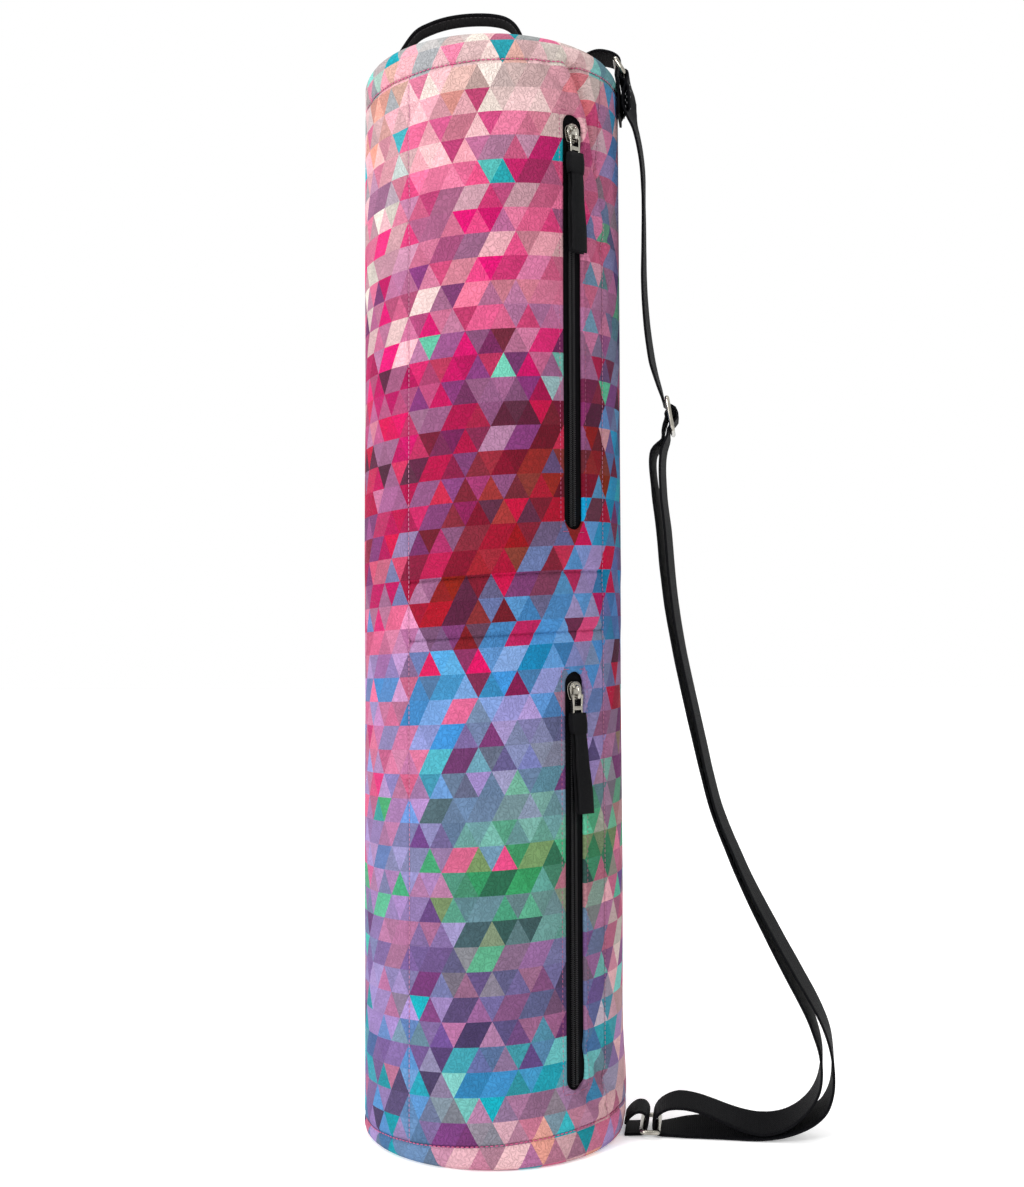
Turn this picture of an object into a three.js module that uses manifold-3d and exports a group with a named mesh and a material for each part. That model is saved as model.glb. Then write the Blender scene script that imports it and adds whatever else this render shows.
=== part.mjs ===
// Yoga mat bag: an upright cloth tube with two zipped front pockets, a grab handle on the lid
// and a shoulder strap that stands away from its right side and rests on the floor.
// Millimetres, +Z up, front towards -Y. Azimuths turn from the front towards the right side.

import * as THREE from 'three';
import { mergeVertices } from 'three/addons/utils/BufferGeometryUtils.js';
import Module from 'manifold-3d';

const wasm = await Module();
wasm.setup();

// Driving sizes of the bag
const bagHeight = 674.5;
const bagRadius = 82.5;
const clothWall = 2;
const shoulderRoll = 11;
const baseRoll = 5.5;
const clearance = 0.3;

// Flat sides of a whole round, and rows of a pocket panel
const bandSides = 48;
const pocketRows = 12;

// Seams: heights at the middle of the front, and how far each climbs per mm to the right
const topSeam = { height: bagHeight - 19.3, rise: 0.062 };
const middleHeight = 35.5;
const pocketSeamLow = { height: 311, rise: 0.06 };
const pocketSeamHigh = { height: pocketSeamLow.height + middleHeight, rise: 0.065 };
const bottomSeam = { height: 15.3, rise: 0.072 };
const panelLeft = -37;
const panelRight = 56;

// Zips
const zipAzimuth = 36;
const slotWidth = 12;
const upperSlot = { bottom: pocketSeamHigh.height + 28.5, top: bagHeight - 46.5 };
const lowerSlot = { bottom: bottomSeam.height + 26.7, top: pocketSeamLow.height - 21 };
const tapeWidth = 25;
const tapeThickness = 0.8;
const tapeGap = 0.9;
const tapeOverlap = 9;
const coilWidth = 5.4;
const coilHeight = 2.2;
const sliderLength = 11;
const sliderWidth = 9;
const sliderThickness = 3.5;
const sliderDrop = 6;
const coilEnd = 2;
const bridgeThickness = 2.4;
const bridgeReach = 4.2;
const bridgeWall = 1.2;
const bridgeFoot = 0.7;
const bridgeHead = 1.6;
const bridgeSink = 0.4;
const pullLength = 15;
const pullWidth = 8.4;
const pullThickness = 1.2;
const pullArm = 1.7;
const pullWindow = 5.8;
const pullBridge = 2.6;
const pullBar = 1.4;
const eyeArm = 1;
const ribbonWidth = 11.5;
const ribbonThickness = 0.8;
const ribbonLength = 57;
const ribbonNeck = 5.8;

// Webbing and metalwork
const webbingWidth = 25;
const webbingThickness = 1.6;
const handleWidth = 16;
const handleThickness = 2.2;
const handleRise = 40.6;
const wireRadius = 1.5;
const ringWidth = 32;
const ringDepth = 10.4;
const ringCorner = 2.4;
const glideHeight = 23.4;
const glideWidth = 32;
const strapAzimuth = 82;

// Spacing of the stations along each band of webbing
const strapStep = 12;
const handleStep = 7;
const upperTabStep = 6;
const lowerTabStep = 4;

// Places where the wall stands in or out: centre, reach and depth, heights as shares of bagHeight,
// depths as shares of bagRadius, azimuths in degrees
const dents = [
  { azimuth: 45, height: 0.96, wide: 5, tall: 0.012, depth: 0.028 },
  { azimuth: 52, height: 0.93, wide: 5, tall: 0.026, depth: 0.034 },
  { azimuth: 58, height: 0.892, wide: 6, tall: 0.03, depth: 0.034 },
  { azimuth: 68, height: 0.85, wide: 8, tall: 0.034, depth: 0.026 },
  { azimuth: 50, height: 0.062, wide: 8, tall: 0.02, depth: 0.018 },
  { azimuth: 78, height: 0.04, wide: 26, tall: 0.04, depth: -0.026 },
  { azimuth: 15, height: 0.512, wide: 60, tall: 0.01, depth: 0.012 },
  { azimuth: 15, height: 0.462, wide: 60, tall: 0.01, depth: 0.012 },
];

const rad = THREE.MathUtils.degToRad;

// Outer skin: where the wall is at an azimuth and a height
function dentDepth(azimuth, z) {
  let depth = 0;
  for (const dent of dents) {
    const turn = ((azimuth - dent.azimuth + 540) % 360) - 180;
    const across = turn / dent.wide;
    const along = (z / bagHeight - dent.height) / dent.tall;
    depth += dent.depth * bagRadius * Math.exp(-(across * across + along * along));
  }
  return depth;
}

function skinRadius(azimuth, z) {
  const ends = Math.min(1, Math.max(0, (z - baseRoll) / baseRoll), Math.max(0, (bagHeight - shoulderRoll - z) / 4));
  return bagRadius - dentDepth(azimuth, z) * ends;
}

function seamZ(seam, azimuth) {
  return seam.height + seam.rise * bagRadius * Math.sin(rad(azimuth));
}

function toXYZ(azimuth, radius, z) {
  return [radius * Math.sin(rad(azimuth)), -radius * Math.cos(rad(azimuth)), z];
}

function geometryFrom(vertices, faces) {
  const geometry = new THREE.BufferGeometry();
  geometry.setAttribute('position', new THREE.Float32BufferAttribute(vertices.flat(), 3));
  geometry.setIndex(faces.flat());
  geometry.computeVertexNormals();
  return geometry;
}

// A closed wall between an outer and an inner grid of points; columns run round the bag, rows go up
function wallBetween({ from, to, cols, rows, outer, inner }) {
  const whole = to - from >= 360;
  const across = whole ? cols : cols + 1;
  const layer = across * (rows + 1);
  const vertices = [];
  for (const skin of [outer, inner]) {
    for (let j = 0; j <= rows; j++) {
      for (let i = 0; i < across; i++) {
        const azimuth = from + ((to - from) * i) / cols;
        vertices.push(toXYZ(azimuth, ...skin(azimuth, j / rows)));
      }
    }
  }
  const at = (skin, i, j) => skin * layer + j * across + (i % across);
  const faces = [];
  const quad = (a, b, c, d) => faces.push([a, b, c], [a, c, d]);
  for (let j = 0; j < rows; j++) {
    for (let i = 0; i < cols; i++) {
      quad(at(0, i, j), at(0, i + 1, j), at(0, i + 1, j + 1), at(0, i, j + 1));
      quad(at(1, i, j), at(1, i, j + 1), at(1, i + 1, j + 1), at(1, i + 1, j));
    }
  }
  for (let i = 0; i < cols; i++) {
    quad(at(0, i, 0), at(1, i, 0), at(1, i + 1, 0), at(0, i + 1, 0));
    quad(at(0, i, rows), at(0, i + 1, rows), at(1, i + 1, rows), at(1, i, rows));
  }
  if (!whole) {
    for (let j = 0; j < rows; j++) {
      quad(at(0, 0, j), at(0, 0, j + 1), at(1, 0, j + 1), at(1, 0, j));
      quad(at(0, cols, j), at(1, cols, j), at(1, cols, j + 1), at(0, cols, j + 1));
    }
  }
  return geometryFrom(vertices, faces);
}

// A cloth panel of the tube between two seams
function panel(from, to, cols, rows, lowSeam, highSeam) {
  const edge = clearance / 2;
  const turn = THREE.MathUtils.radToDeg(edge / bagRadius);
  const zAt = (azimuth, share) => {
    const low = seamZ(lowSeam, azimuth) + edge;
    return low + (seamZ(highSeam, azimuth) - edge - low) * share;
  };
  return wallBetween({
    from: from + turn,
    to: to - turn,
    cols,
    rows,
    outer: (azimuth, share) => [skinRadius(azimuth, zAt(azimuth, share)), zAt(azimuth, share)],
    inner: (azimuth, share) => [skinRadius(azimuth, zAt(azimuth, share)) - clothWall, zAt(azimuth, share)],
  });
}

// A band that runs up the wall from a seam and rolls over a quarter round towards the middle
function rolledBand(seam, roll, rows, atTop) {
  const seamRows = 2;
  const point = (azimuth, share, inset) => {
    const row = share * rows;
    const sign = atTop ? 1 : -1;
    const rollZ = atTop ? bagHeight - roll : roll;
    if (row <= seamRows) {
      const start = seamZ(seam, azimuth) + (sign * clearance) / 2;
      const z = start + ((rollZ - start) * row) / seamRows;
      return [skinRadius(azimuth, z) - inset, z];
    }
    const angle = ((row - seamRows) / (rows - seamRows)) * (Math.PI / 2);
    const reach = roll - inset;
    return [bagRadius - roll + reach * Math.cos(angle), rollZ + sign * reach * Math.sin(angle)];
  };
  const flip = (share) => (atTop ? share : 1 - share);
  return wallBetween({
    from: 0,
    to: 360,
    cols: bandSides,
    rows,
    outer: (azimuth, share) => point(azimuth, flip(share), 0),
    inner: (azimuth, share) => point(azimuth, flip(share), clothWall),
  });
}

function disc(radius, bottom, thickness) {
  const profile = [
    new THREE.Vector2(0, bottom),
    new THREE.Vector2(radius, bottom),
    new THREE.Vector2(radius, bottom + thickness),
    new THREE.Vector2(0, bottom + thickness),
  ];
  const geometry = new THREE.LatheGeometry(profile, bandSides);
  geometry.rotateX(Math.PI / 2);
  return geometry;
}

// Webbing: a flat band laid along a route of stations. A station has its place in the upright
// plane of the strap, and may have a sideways shift, a tilt of the width and a width of its own
function band(stations, width, thickness) {
  const vertices = [];
  stations.forEach((station, i) => {
    const before = stations[Math.max(0, i - 1)];
    const after = stations[Math.min(stations.length - 1, i + 1)];
    const along = new THREE.Vector3(after.x - before.x, 0, after.z - before.z).normalize();
    const side = new THREE.Vector3(0, 1, 0);
    const face = new THREE.Vector3().crossVectors(along, side);
    const tilt = rad(station.tilt ?? 0);
    const wide = side.clone().multiplyScalar(Math.cos(tilt)).addScaledVector(face, Math.sin(tilt));
    const thick = face.clone().multiplyScalar(Math.cos(tilt)).addScaledVector(side, -Math.sin(tilt));
    for (const [u, v] of [[-1, -1], [1, -1], [1, 1], [-1, 1]]) {
      const corner = new THREE.Vector3(station.x, station.shift ?? 0, station.z);
      corner.addScaledVector(wide, (u * (station.width ?? width)) / 2).addScaledVector(thick, (v * thickness) / 2);
      vertices.push(corner.toArray());
    }
  });
  const faces = [];
  const last = stations.length - 1;
  for (let i = 0; i < last; i++) {
    for (let k = 0; k < 4; k++) {
      const a = i * 4 + k;
      const b = i * 4 + ((k + 1) % 4);
      faces.push([a, b + 4, a + 4], [a, b, b + 4]);
    }
  }
  faces.push([0, 2, 1], [0, 3, 2]);
  faces.push([last * 4, last * 4 + 1, last * 4 + 2], [last * 4, last * 4 + 2, last * 4 + 3]);
  return geometryFrom(vertices, faces);
}

// Smooth stations through the chosen points of a route, one about every step mm
function smoothRoute(points, step) {
  const curve = new THREE.CatmullRomCurve3(points.map((p) => new THREE.Vector3(p.x, p.shift ?? 0, p.z)), false, 'centripetal');
  const tilts = new THREE.CatmullRomCurve3(points.map((p, i) => new THREE.Vector3(p.tilt ?? 0, i, 0)), false, 'centripetal');
  const stations = [];
  points.slice(1).forEach((point, i) => {
    const from = points[i];
    const gap = Math.hypot(point.x - from.x, point.z - from.z);
    const parts = Math.max(1, Math.round(gap / step));
    for (let k = 0; k < parts; k++) {
      const share = (i + k / parts) / (points.length - 1);
      const place = curve.getPoint(share);
      stations.push({ x: place.x, z: place.z, shift: place.y, tilt: tilts.getPoint(share).x });
    }
  });
  stations.push(points[points.length - 1]);
  return stations;
}

// Part of a circle round a bar, for a band that loops it
function arcPoints(centre, radius, fromDegrees, toDegrees, count) {
  return Array.from({ length: count }, (_, i) => {
    const angle = rad(fromDegrees + ((toDegrees - fromDegrees) * i) / (count - 1));
    return { x: centre.x + radius * Math.cos(angle), z: centre.z + radius * Math.sin(angle) };
  });
}

// Booleans
function toSolid(geometry) {
  const bare = geometry.clone();
  bare.deleteAttribute('normal');
  bare.deleteAttribute('uv');
  const merged = mergeVertices(bare, 1e-4);
  return new wasm.Manifold(new wasm.Mesh({
    numProp: 3,
    vertProperties: new Float32Array(merged.attributes.position.array),
    triVerts: new Uint32Array(merged.index.array),
  }));
}

function fromSolid(solid) {
  const mesh = solid.getMesh();
  const geometry = new THREE.BufferGeometry();
  geometry.setAttribute('position', new THREE.Float32BufferAttribute(mesh.vertProperties, 3));
  geometry.setIndex(new THREE.Uint32BufferAttribute(mesh.triVerts, 1));
  return geometry;
}

function slotShape(width, bottom, top) {
  const shape = new THREE.Shape();
  shape.absarc(0, top - width / 2, width / 2, 0, Math.PI, false);
  shape.absarc(0, bottom + width / 2, width / 2, Math.PI, 2 * Math.PI, false);
  return shape;
}

function rectangle(shape, left, right, bottom, top) {
  shape.moveTo(left, bottom);
  shape.lineTo(right, bottom);
  shape.lineTo(right, top);
  shape.lineTo(left, top);
  shape.closePath();
  return shape;
}

// Shapes drawn in the tangent plane: the drawing's x runs to the right along the wall, y goes up,
// and the depth grows outwards. The frame at an azimuth has x outwards and y to the right.
function standUp(geometry) {
  geometry.rotateX(Math.PI / 2);
  geometry.rotateZ(Math.PI / 2);
  return geometry;
}

function cutSlot(panelGeometry, slot) {
  const shape = slotShape(slotWidth, slot.bottom, slot.top);
  const cutter = new THREE.ExtrudeGeometry(shape, { depth: 24, bevelEnabled: false, curveSegments: 6 });
  standUp(cutter);
  cutter.translate(bagRadius - 16, 0, 0);
  cutter.rotateZ(rad(zipAzimuth - 90));
  return fromSolid(toSolid(panelGeometry).subtract(toSolid(cutter)));
}

// Zip parts
function zipTape(slot) {
  const half = THREE.MathUtils.radToDeg(tapeWidth / 2 / bagRadius);
  const bottom = slot.bottom - tapeOverlap;
  const top = slot.top + tapeOverlap;
  const skin = (depth) => (azimuth, share) => {
    const z = bottom + (top - bottom) * share;
    return [skinRadius(azimuth, z) - clothWall - tapeGap - depth, z];
  };
  return wallBetween({
    from: zipAzimuth - half,
    to: zipAzimuth + half,
    cols: 8,
    rows: 20,
    outer: skin(0),
    inner: skin(tapeThickness),
  });
}

const tapeFace = bagRadius - clothWall - tapeGap;

function zipCoil(slot) {
  const bottom = slot.bottom + coilEnd;
  const top = slot.top - sliderDrop - sliderLength - clearance;
  const section = new THREE.Shape();
  section.moveTo(-coilWidth / 2, 0);
  section.lineTo(coilWidth / 2, 0);
  section.absellipse(0, 0, coilWidth / 2, coilHeight, 0, Math.PI, false);
  section.closePath();
  const geometry = new THREE.ExtrudeGeometry(section, { depth: top - bottom, bevelEnabled: false, curveSegments: 5 });
  geometry.rotateZ(-Math.PI / 2);
  geometry.translate(tapeFace + clearance, 0, bottom);
  return geometry;
}

// The slider's own frame: origin at its middle on the back face, x outwards, z up
function zipSlider() {
  const half = sliderLength / 2;
  const body = new THREE.Shape();
  body.moveTo(-sliderWidth * 0.3, -half);
  body.lineTo(sliderWidth * 0.3, -half);
  body.lineTo(sliderWidth / 2, half * 0.2);
  body.quadraticCurveTo(sliderWidth / 2, half, sliderWidth * 0.2, half);
  body.lineTo(-sliderWidth * 0.2, half);
  body.quadraticCurveTo(-sliderWidth / 2, half, -sliderWidth / 2, half * 0.2);
  body.closePath();
  const block = new THREE.ExtrudeGeometry(body, { depth: sliderThickness, bevelEnabled: false, curveSegments: 4 });
  standUp(block);
  const low = -half + bridgeFoot;
  const high = half - bridgeHead;
  const reach = sliderThickness + bridgeReach;
  const arch = new THREE.Shape();
  arch.moveTo(sliderThickness - bridgeSink, low);
  arch.lineTo(reach - 1, low);
  arch.quadraticCurveTo(reach, low, reach, low + 1);
  arch.lineTo(reach, high - 2.4);
  arch.lineTo(sliderThickness - bridgeSink, high);
  arch.closePath();
  const hole = new THREE.Path();
  rectangle(hole, sliderThickness, reach - bridgeWall, low + bridgeWall, high - 3.2);
  arch.holes.push(hole);
  const bridge = new THREE.ExtrudeGeometry(arch, { depth: bridgeThickness, bevelEnabled: false, curveSegments: 3 });
  bridge.translate(0, 0, -bridgeThickness / 2);
  bridge.rotateX(Math.PI / 2);
  return fromSolid(toSolid(block).add(toSolid(bridge)));
}

// The pull's own frame: origin in the middle of its pin, hanging down
function zipPull() {
  const outline = new THREE.Shape();
  const half = pullWidth / 2;
  const top = pullThickness / 2;
  rectangle(outline, -half, half, top - pullLength, top);
  const pinWindow = new THREE.Path();
  rectangle(pinWindow, -half + pullArm, half - pullArm, -top - pullWindow, -top);
  outline.holes.push(pinWindow);
  const eye = new THREE.Path();
  rectangle(eye, -half + eyeArm, half - eyeArm, top - pullLength + pullBar, -top - pullWindow - pullBridge);
  outline.holes.push(eye);
  const geometry = new THREE.ExtrudeGeometry(outline, { depth: pullThickness, bevelEnabled: false });
  geometry.translate(0, 0, -pullThickness / 2);
  return standUp(geometry);
}

// A ribbon through the pull's eye, both ends hanging together and leaning sideways
function pullRibbon(lean) {
  const loop = pullThickness / 2 + 2 * clearance + ribbonThickness / 2;
  const bar = { x: 0, z: (pullThickness + pullBar) / 2 - pullLength };
  const ends = bar.z - ribbonLength;
  const neck = bar.z - 2 * pullBar;
  const fall = (x, from, to) => [0, 0.5, 1].map((share) => ({ x, z: from + (to - from) * share }));
  const turn = arcPoints(bar, loop, 180, 0, 7).map((point) => ({ ...point, width: ribbonNeck }));
  const points = [...fall(-loop, ends, neck), ...turn, ...fall(loop, neck, ends)];
  for (const point of points) {
    point.shift = Math.max(0, bar.z - point.z) * Math.tan(rad(lean));
  }
  return band(points, ribbonWidth, ribbonThickness);
}

// A closed loop of wire in the upright plane's cross direction: a rectangle with round corners
function wireRing(depth, width, corner) {
  const outline = [];
  const corners = [[1, 1, 0], [-1, 1, 90], [-1, -1, 180], [1, -1, 270]];
  for (const [u, v, start] of corners) {
    for (let k = 0; k <= 3; k++) {
      const angle = rad(start + 30 * k);
      outline.push(new THREE.Vector3(
        u * (depth / 2 - corner) + corner * Math.cos(angle),
        v * (width / 2 - corner) + corner * Math.sin(angle),
        0,
      ));
    }
  }
  const sides = 8;
  const vertices = [];
  outline.forEach((place, i) => {
    const before = outline[(i + outline.length - 1) % outline.length];
    const after = outline[(i + 1) % outline.length];
    const along = after.clone().sub(before).normalize();
    const out = new THREE.Vector3().crossVectors(along, new THREE.Vector3(0, 0, 1));
    for (let s = 0; s < sides; s++) {
      const angle = (2 * Math.PI * s) / sides;
      const point = place.clone().addScaledVector(out, wireRadius * Math.cos(angle));
      vertices.push([point.x, point.y, wireRadius * Math.sin(angle)]);
    }
  });
  const faces = [];
  outline.forEach((_, i) => {
    const next = (i + 1) % outline.length;
    for (let s = 0; s < sides; s++) {
      const t = (s + 1) % sides;
      faces.push([i * sides + s, next * sides + s, next * sides + t]);
      faces.push([i * sides + s, next * sides + t, i * sides + t]);
    }
  });
  return geometryFrom(vertices, faces);
}

// The adjuster: a wire frame with a bar across its middle, stood up
function triGlide() {
  const frame = wireRing(glideHeight - 2 * wireRadius, glideWidth - 2 * wireRadius, ringCorner);
  const bar = new THREE.CylinderGeometry(wireRadius, wireRadius, glideWidth - 2 * wireRadius, 8);
  const geometry = fromSolid(toSolid(frame).add(toSolid(bar)));
  return geometry.rotateY(Math.PI / 2);
}

// A place in the strap's upright plane, from shares of the bag's radius and height: x is the
// distance from the bag's axis
function strapPlace({ out, up, ...rest }) {
  return { x: out * bagRadius, z: up * bagHeight, ...rest };
}

// Places of the metalwork in the strap's plane
const upperBar = { x: bagRadius - 0.7, z: bagHeight + 5 };
const strapBar = { x: bagRadius + 4.6, z: bagHeight - 3.9 };
const glideCentre = { ...strapPlace({ out: 1.3915, up: 0.6692 }), lean: 9.5 };
const lowerRingLeft = { x: bagRadius + 12, z: 4.5 };
const lowerRingRight = { x: lowerRingLeft.x + ringDepth, z: 4.5 };
const loopRadius = wireRadius + clearance + webbingThickness / 2;
const onWall = bagRadius + clearance + webbingThickness / 2;

// A place in the adjuster's own frame, n outwards and t up, moved to the strap's plane
function atGlide(n, t, tilt = 0) {
  const lean = rad(glideCentre.lean);
  return {
    x: glideCentre.x + n * Math.cos(lean) - t * Math.sin(lean),
    z: glideCentre.z + n * Math.sin(lean) + t * Math.cos(lean),
    tilt,
  };
}

// Route of the shoulder strap. Doubled run: height, distance of the pair from the axis, the
// distance in mm between its two layers and their tilt
const doubledRun = [
  { up: 0.6345, out: 1.3018, spread: 6, tilt: 6 },
  { up: 0.599, out: 1.3042, spread: 5, tilt: 7 },
  { up: 0.5619, out: 1.3382, spread: 4.6, tilt: 8 },
  { up: 0.5234, out: 1.3636, spread: 4.4, tilt: 8 },
  { up: 0.4863, out: 1.3988, spread: 4, tilt: 8 },
  { up: 0.4477, out: 1.4509, spread: 3.6, tilt: 8 },
  { up: 0.4107, out: 1.5127, spread: 3.6, tilt: 8 },
  { up: 0.3736, out: 1.5794, spread: 3.4, tilt: 8.5 },
  { up: 0.3351, out: 1.6485, spread: 2.8, tilt: 9 },
  { up: 0.298, out: 1.7285, spread: 2.5, tilt: 9.5 },
  { up: 0.2624, out: 1.8412, spread: 2.7, tilt: 10 },
  { up: 0.2254, out: 1.9733, spread: 3.2, tilt: 11 },
  { up: 0.1883, out: 2.1261, spread: 4, tilt: 12 },
  { up: 0.1527, out: 2.2788, spread: 5, tilt: 12 },
  { up: 0.1171, out: 2.4315, spread: 6.2, tilt: 10 },
].map(strapPlace);

function doubledLayer(sign) {
  return doubledRun.map((row, i) => {
    const before = doubledRun[Math.max(0, i - 1)];
    const after = doubledRun[Math.min(doubledRun.length - 1, i + 1)];
    const length = Math.hypot(after.x - before.x, after.z - before.z);
    const outX = (before.z - after.z) / length;
    const outZ = (after.x - before.x) / length;
    const half = (sign * row.spread) / 2;
    return { x: row.x + half * outX, z: row.z + half * outZ, tilt: sign * row.tilt };
  });
}

// A place beside the upper ring's outer bar
function atRing(x, z, tilt = 0) {
  return { x: strapBar.x + x, z: strapBar.z + z, tilt };
}

// Where the strap's sewn end turns round the ring and runs down to the adjuster
const strapStart = [
  atRing(2.1, -22.6, -10),
  atRing(1.7, -14.6, -7),
  atRing(1.1, -8.2, -3),
  atRing(-0.2, -4.4),
  ...arcPoints(strapBar, loopRadius, 205, 0, 8),
  atRing(3.1, -5.1, 2),
  atRing(3.5, -11.6, 5),
  atRing(4.2, -19.2, 9),
  atRing(5.9, -26.2, 10),
  atRing(8.1, -34.6, 8),
  ...[
    { out: 1.1842, up: 0.9148, tilt: 4 },
    { out: 1.1976, up: 0.8762 },
    { out: 1.1976, up: 0.8302, tilt: 2 },
    { out: 1.1988, up: 0.7911, tilt: 4 },
    { out: 1.2218, up: 0.7526, tilt: 6 },
    { out: 1.2606, up: 0.719, tilt: 7 },
  ].map(strapPlace),
];

const throughGlide = [
  atGlide(-3.6, 20, 5),
  atGlide(-2.8, 12.5, 2),
  atGlide(-2.4, 9),
  atGlide(0.6, 5.9),
  atGlide(3.9, 3.2),
  atGlide(4.7, 0),
  atGlide(3.9, -3.2),
  atGlide(0.6, -5.9),
  atGlide(-2.4, -9),
  atGlide(-3.4, -13, 2),
];

const floorRun = [
  { out: 2.5333, up: 0.0986, tilt: 8 },
  { out: 2.5648, up: 0.0801, tilt: 5 },
  { out: 2.5733, up: 0.0608, tilt: 3 },
  { out: 2.5576, up: 0.0445, tilt: 1 },
  { out: 2.503, up: 0.0297, tilt: -3 },
  { out: 2.4121, up: 0.02, tilt: -7 },
  { out: 2.303, up: 0.0135, tilt: -10 },
  { out: 2.1818, up: 0.0093, tilt: -13 },
  { out: 2.0242, up: 0.0067, tilt: -15 },
  { out: 1.8182, up: 0.0065, tilt: -15 },
  { out: 1.6364, up: 0.0065, tilt: -15 },
  { out: 1.4788, up: 0.0053, tilt: -11 },
  { out: 1.3697, up: 0.0039, tilt: -5 },
].map(strapPlace);

const liftedRun = [
  { x: lowerRingRight.x - 2.4, z: 2.8 },
  { x: lowerRingRight.x - 3.2, z: 5.6 },
  { x: lowerRingRight.x - 2.9, z: 10 },
  { x: lowerRingRight.x - 0.1, z: 14.6, tilt: 2 },
  { x: lowerRingRight.x + 4.9, z: 18, tilt: 4 },
  ...[
    { out: 1.423, up: 0.0295, tilt: 8 },
    { out: 1.5442, up: 0.028, tilt: 8 },
    { out: 1.6533, up: 0.0243, tilt: 8 },
    { out: 1.7818, up: 0.0185, tilt: 10 },
    { out: 1.9152, up: 0.0133, tilt: 13 },
    { out: 2.0606, up: 0.0111, tilt: 15 },
    { out: 2.2061, up: 0.0154, tilt: 10 },
    { out: 2.3152, up: 0.0237, tilt: 5 },
    { out: 2.4, up: 0.0341, tilt: 2 },
    { out: 2.4606, up: 0.0474 },
    { out: 2.4861, up: 0.063, tilt: -3 },
    { out: 2.4824, up: 0.0801, tilt: -6 },
    { out: 2.4461, up: 0.0986, tilt: -9 },
  ].map(strapPlace),
];

const roundGlideBar = [
  atGlide(-6.6, -15, -3),
  atGlide(-6.2, -10),
  atGlide(-4.6, -5.6),
  ...arcPoints({ x: 0, z: 0 }, loopRadius, 205, -80, 9).map((turn) => atGlide(turn.x, turn.z)),
  atGlide(-1.2, -4.4),
];

function shoulderStrap() {
  const route = [
    ...strapStart,
    ...throughGlide,
    ...doubledLayer(1),
    ...floorRun,
    { x: lowerRingRight.x, z: lowerRingRight.z - loopRadius },
    ...liftedRun,
    ...doubledLayer(-1).reverse(),
    ...roundGlideBar,
  ];
  return band(smoothRoute(route, strapStep), webbingWidth, webbingThickness);
}

function upperTab() {
  const lid = bagHeight + clearance + webbingThickness / 2;
  const route = [
    { x: onWall, z: bagHeight - 30 },
    { x: onWall, z: bagHeight - 18 },
    { x: onWall, z: bagHeight - 10.5 },
    { x: onWall - 0.4, z: bagHeight - 7.5 },
    { x: onWall - 1.6, z: bagHeight - 4.3 },
    { x: onWall - 0.7, z: bagHeight + 0.4 },
    { x: upperBar.x + loopRadius + 0.2, z: upperBar.z },
    { x: upperBar.x + 0.6, z: upperBar.z + loopRadius + 0.8 },
    { x: upperBar.x - 5, z: upperBar.z + 6.2 },
    { x: upperBar.x - 12, z: upperBar.z + 7.2 },
    { x: upperBar.x - 20, z: upperBar.z + 4.4 },
    { x: upperBar.x - 27, z: lid + 2.6 },
    { x: upperBar.x - 34, z: lid },
    { x: upperBar.x - 39, z: lid },
  ];
  return band(smoothRoute(route, upperTabStep), webbingWidth, webbingThickness);
}

function lowerTab() {
  const floor = clearance + webbingThickness / 2;
  const left = lowerRingLeft;
  const route = [
    { x: onWall + 0.3, z: 7.6 },
    { x: onWall + 3.6, z: 12 },
    { x: left.x - 2.6, z: 15 },
    { x: left.x + 1.6, z: 14.4 },
    { x: left.x + 3.6, z: 11 },
    { x: left.x + 3.3, z: 7.4 },
    ...arcPoints(left, loopRadius, 10, -90, 4),
    { x: left.x - 4, z: floor + 0.4 },
    { x: onWall, z: floor },
  ];
  return band(smoothRoute(route, lowerTabStep), webbingWidth, webbingThickness);
}

function grabHandle() {
  const seat = bagHeight + clearance + handleThickness / 2;
  const route = [
    { out: -0.885, rise: 0 },
    { out: -0.83, rise: 0.012 },
    { out: -0.788, rise: 0.12 },
    { out: -0.71, rise: 0.416 },
    { out: -0.594, rise: 0.735 },
    { out: -0.48, rise: 0.86 },
    { out: -0.364, rise: 0.938 },
    { out: -0.23, rise: 0.985 },
    { out: -0.09, rise: 1 },
    { out: 0.024, rise: 0.985 },
    { out: 0.109, rise: 0.942 },
    { out: 0.17, rise: 0.86 },
    { out: 0.218, rise: 0.72 },
    { out: 0.261, rise: 0.46 },
    { out: 0.301, rise: 0.2 },
    { out: 0.364, rise: 0.034 },
    { out: 0.473, rise: 0 },
  ].map(({ out, rise }) => ({ x: out * bagRadius, z: seat + rise * handleRise }));
  return band(smoothRoute(route, handleStep), handleWidth, handleThickness);
}

// Materials
const printedCloth = { color: 0x9c6a86, roughness: 0.9, metalness: 0 };
const blackWebbing = { color: 0x101012, roughness: 0.85, metalness: 0 };
const nickel = { color: 0xb9bbc0, roughness: 0.25, metalness: 1 };
const coilPlastic = { color: 0x141416, roughness: 0.45, metalness: 0 };

const bag = new THREE.Group();

function add(name, geometry, material, parent = bag) {
  const mesh = new THREE.Mesh(geometry, new THREE.MeshStandardMaterial(material));
  mesh.name = name;
  parent.add(mesh);
  return mesh;
}

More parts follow.
